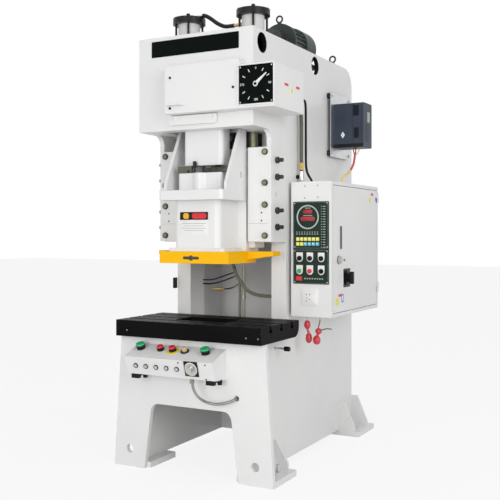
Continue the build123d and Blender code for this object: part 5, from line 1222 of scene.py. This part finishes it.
# Spare plugs under the cabinet, each wrapped in red film: x, top, bottom and radius of a wrap
spareLook = {
    "y": -0.240,
    "top": 0.917,
    "wraps": ((0.502, 0.891, 0.832, 0.020), (0.513, 0.812, 0.746, 0.021), (0.578, 0.845, 0.805, 0.020),
              (0.566, 0.800, 0.740, 0.024)),
    "joins": (((0.502, 0.840), (0.507, 0.822), (0.513, 0.806)), ((0.577, 0.812), (0.572, 0.804), (0.568, 0.795))),
    "joinRadius": 0.008,
    "cords": ((0.502, 0.885), (0.588, 0.893)),
    "cordRadius": 0.0055,
    "redWire": ((0.588, 0.898), (0.586, 0.880), (0.578, 0.858), (0.577, 0.838)),
    "greenWire": ((0.586, 0.832), (0.606, 0.834), (0.630, 0.846), (0.665, 0.842)),
    "wireRadius": 0.0032,
    "wander": 0.16,
}


def bundle(mesh, x, y, top, bottom, radius, wander, steps=22, count=14):
    # Wrapped film: rings that swell in the middle and wander a little
    rings = [[mesh.verts.new((x, y, top))]]
    for level in range(1, count):
        share = level / count
        z = top + (bottom - top) * share
        swell = radius * math.sin(math.pi * share) ** 0.42
        ring = []
        for angle in turns(steps):
            c, s = math.cos(angle), math.sin(angle)
            reach = swell * (1.0 + wander * noise.noise(Vector((2.4 * c + 30 * x, 2.4 * s, 150 * z))))
            ring.append(mesh.verts.new((x + reach * c, y + reach * s, z)))
        rings.append(ring)
    rings.append([mesh.verts.new((x, y, bottom))])
    bridge(mesh, rings, steps)


def makeSparePlugs(look):
    slotName, y = slotOf["spare_plugs"], look["y"]
    shapes = [(bundle, x, y, top, bottom, radius, look["wander"]) for x, top, bottom, radius in look["wraps"]]
    shapes += [(tubeAlong, pathPoints([(x, y, z) for x, z in route]), lambda run: look["joinRadius"], 12)
               for route in look["joins"]]
    wraps = addPiece(Matrix.Identity(4), "spare_plug_wraps", "wrapRed", slotName, *shapes, sharp=60)
    for index, (x, z) in enumerate(look["cords"], 1):
        route = ((x, y, look["top"]), (x, y, (look["top"] + z) / 2), (x, y, z))
        hose(f"spare_cord_{index}", route, look["cordRadius"], "cordPale", slotName, sides=12)
    for name, finish in (("redWire", "wireBrown"), ("greenWire", "wireGreen")):
        hose(f"spare_{name}", [(x, y, z) for x, z in look[name]], look["wireRadius"], finish, slotName, sides=10)
    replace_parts(wraps, "spare_plugs")


makeSparePlugs(spareLook)
print("small parts dressed")


# Pale floor, soft studio light and a white background that lights nothing
studioLook = {
    "floor": (60.0, 60.0, 1.0),
    "floorThick": 0.02,
    "floorColour": (0.72, 0.72, 0.72),
    "floorRough": 0.9,
    "floorGlow": 0.86,
    "worldLight": 0.54,
    "lamps": (
        {"name": "keyLamp", "place": (0.4, -7.6, 1.9), "aim": (0.0, -0.2, 1.2), "size": 3.6, "power": 165.0},
        {"name": "fillLamp", "place": (6.0, -3.6, 3.0), "aim": (0.2, -0.1, 1.4), "size": 4.0, "power": 150.0},
        {"name": "topLamp", "place": (0.5, 0.5, 7.0), "aim": (0.0, 0.0, 0.0), "size": 5.0, "power": 30.0},
    ),
}


def whiteToCamera(tree):
    # 1 for rays that see the background: camera, glossy and transmission rays
    path = addNode(tree, "LightPath")
    seen = maths(tree, "MAXIMUM", path.outputs["Is Camera Ray"], path.outputs["Is Glossy Ray"])
    return maths(tree, "MAXIMUM", seen, path.outputs["Is Transmission Ray"])


def mixInto(tree, output, factor, first, second):
    mix = addNode(tree, "MixShader", {0: factor, 1: first.outputs[0], 2: second.outputs[0]})
    setInputs(tree, tree.nodes[output], {"Surface": mix.outputs[0]})


def makeStudio(look):
    world = bpy.data.worlds.new("studio")
    bpy.context.scene.world = world
    world.use_nodes = True
    tree = world.node_tree
    soft = tree.nodes["Background"]
    white = (1.0, 1.0, 1.0)
    setInputs(tree, soft, {"Color": white, "Strength": look["worldLight"]})
    bright = addNode(tree, "Background", {"Color": white, "Strength": 1.0})
    mixInto(tree, "World Output", whiteToCamera(tree), soft, bright)

    mesh = bmesh.new()
    block(mesh, look["floor"], (0, 0), 0.0, 0.0, -look["floorThick"])
    data = bpy.data.meshes.new("studio_floor")
    mesh.to_mesh(data)
    mesh.free()
    material, tree, shader = newMaterial("studio_floor")
    setInputs(tree, shader, {"Base Color": look["floorColour"], "Roughness": look["floorRough"]})
    glow = addNode(tree, "Emission", {"Strength": 1.0})
    mixInto(tree, "Material Output", maths(tree, "MULTIPLY", whiteToCamera(tree), look["floorGlow"]), shader, glow)
    data.materials.append(material)
    floor = bpy.data.objects.new("studio_floor", data)
    link(floor)

    for lamp in look["lamps"]:
        data = bpy.data.lights.new(lamp["name"], "AREA")
        data.shape = "DISK"
        data.size = lamp["size"]
        data.energy = lamp["power"]
        light = bpy.data.objects.new(lamp["name"], data)
        light.location = lamp["place"]
        light.rotation_euler = (Vector(lamp["aim"]) - Vector(lamp["place"])).to_track_quat("-Z", "Y").to_euler()
        link(light)
    bpy.context.scene.view_settings.view_transform = "Standard"


makeStudio(studioLook)
print("studio ready")
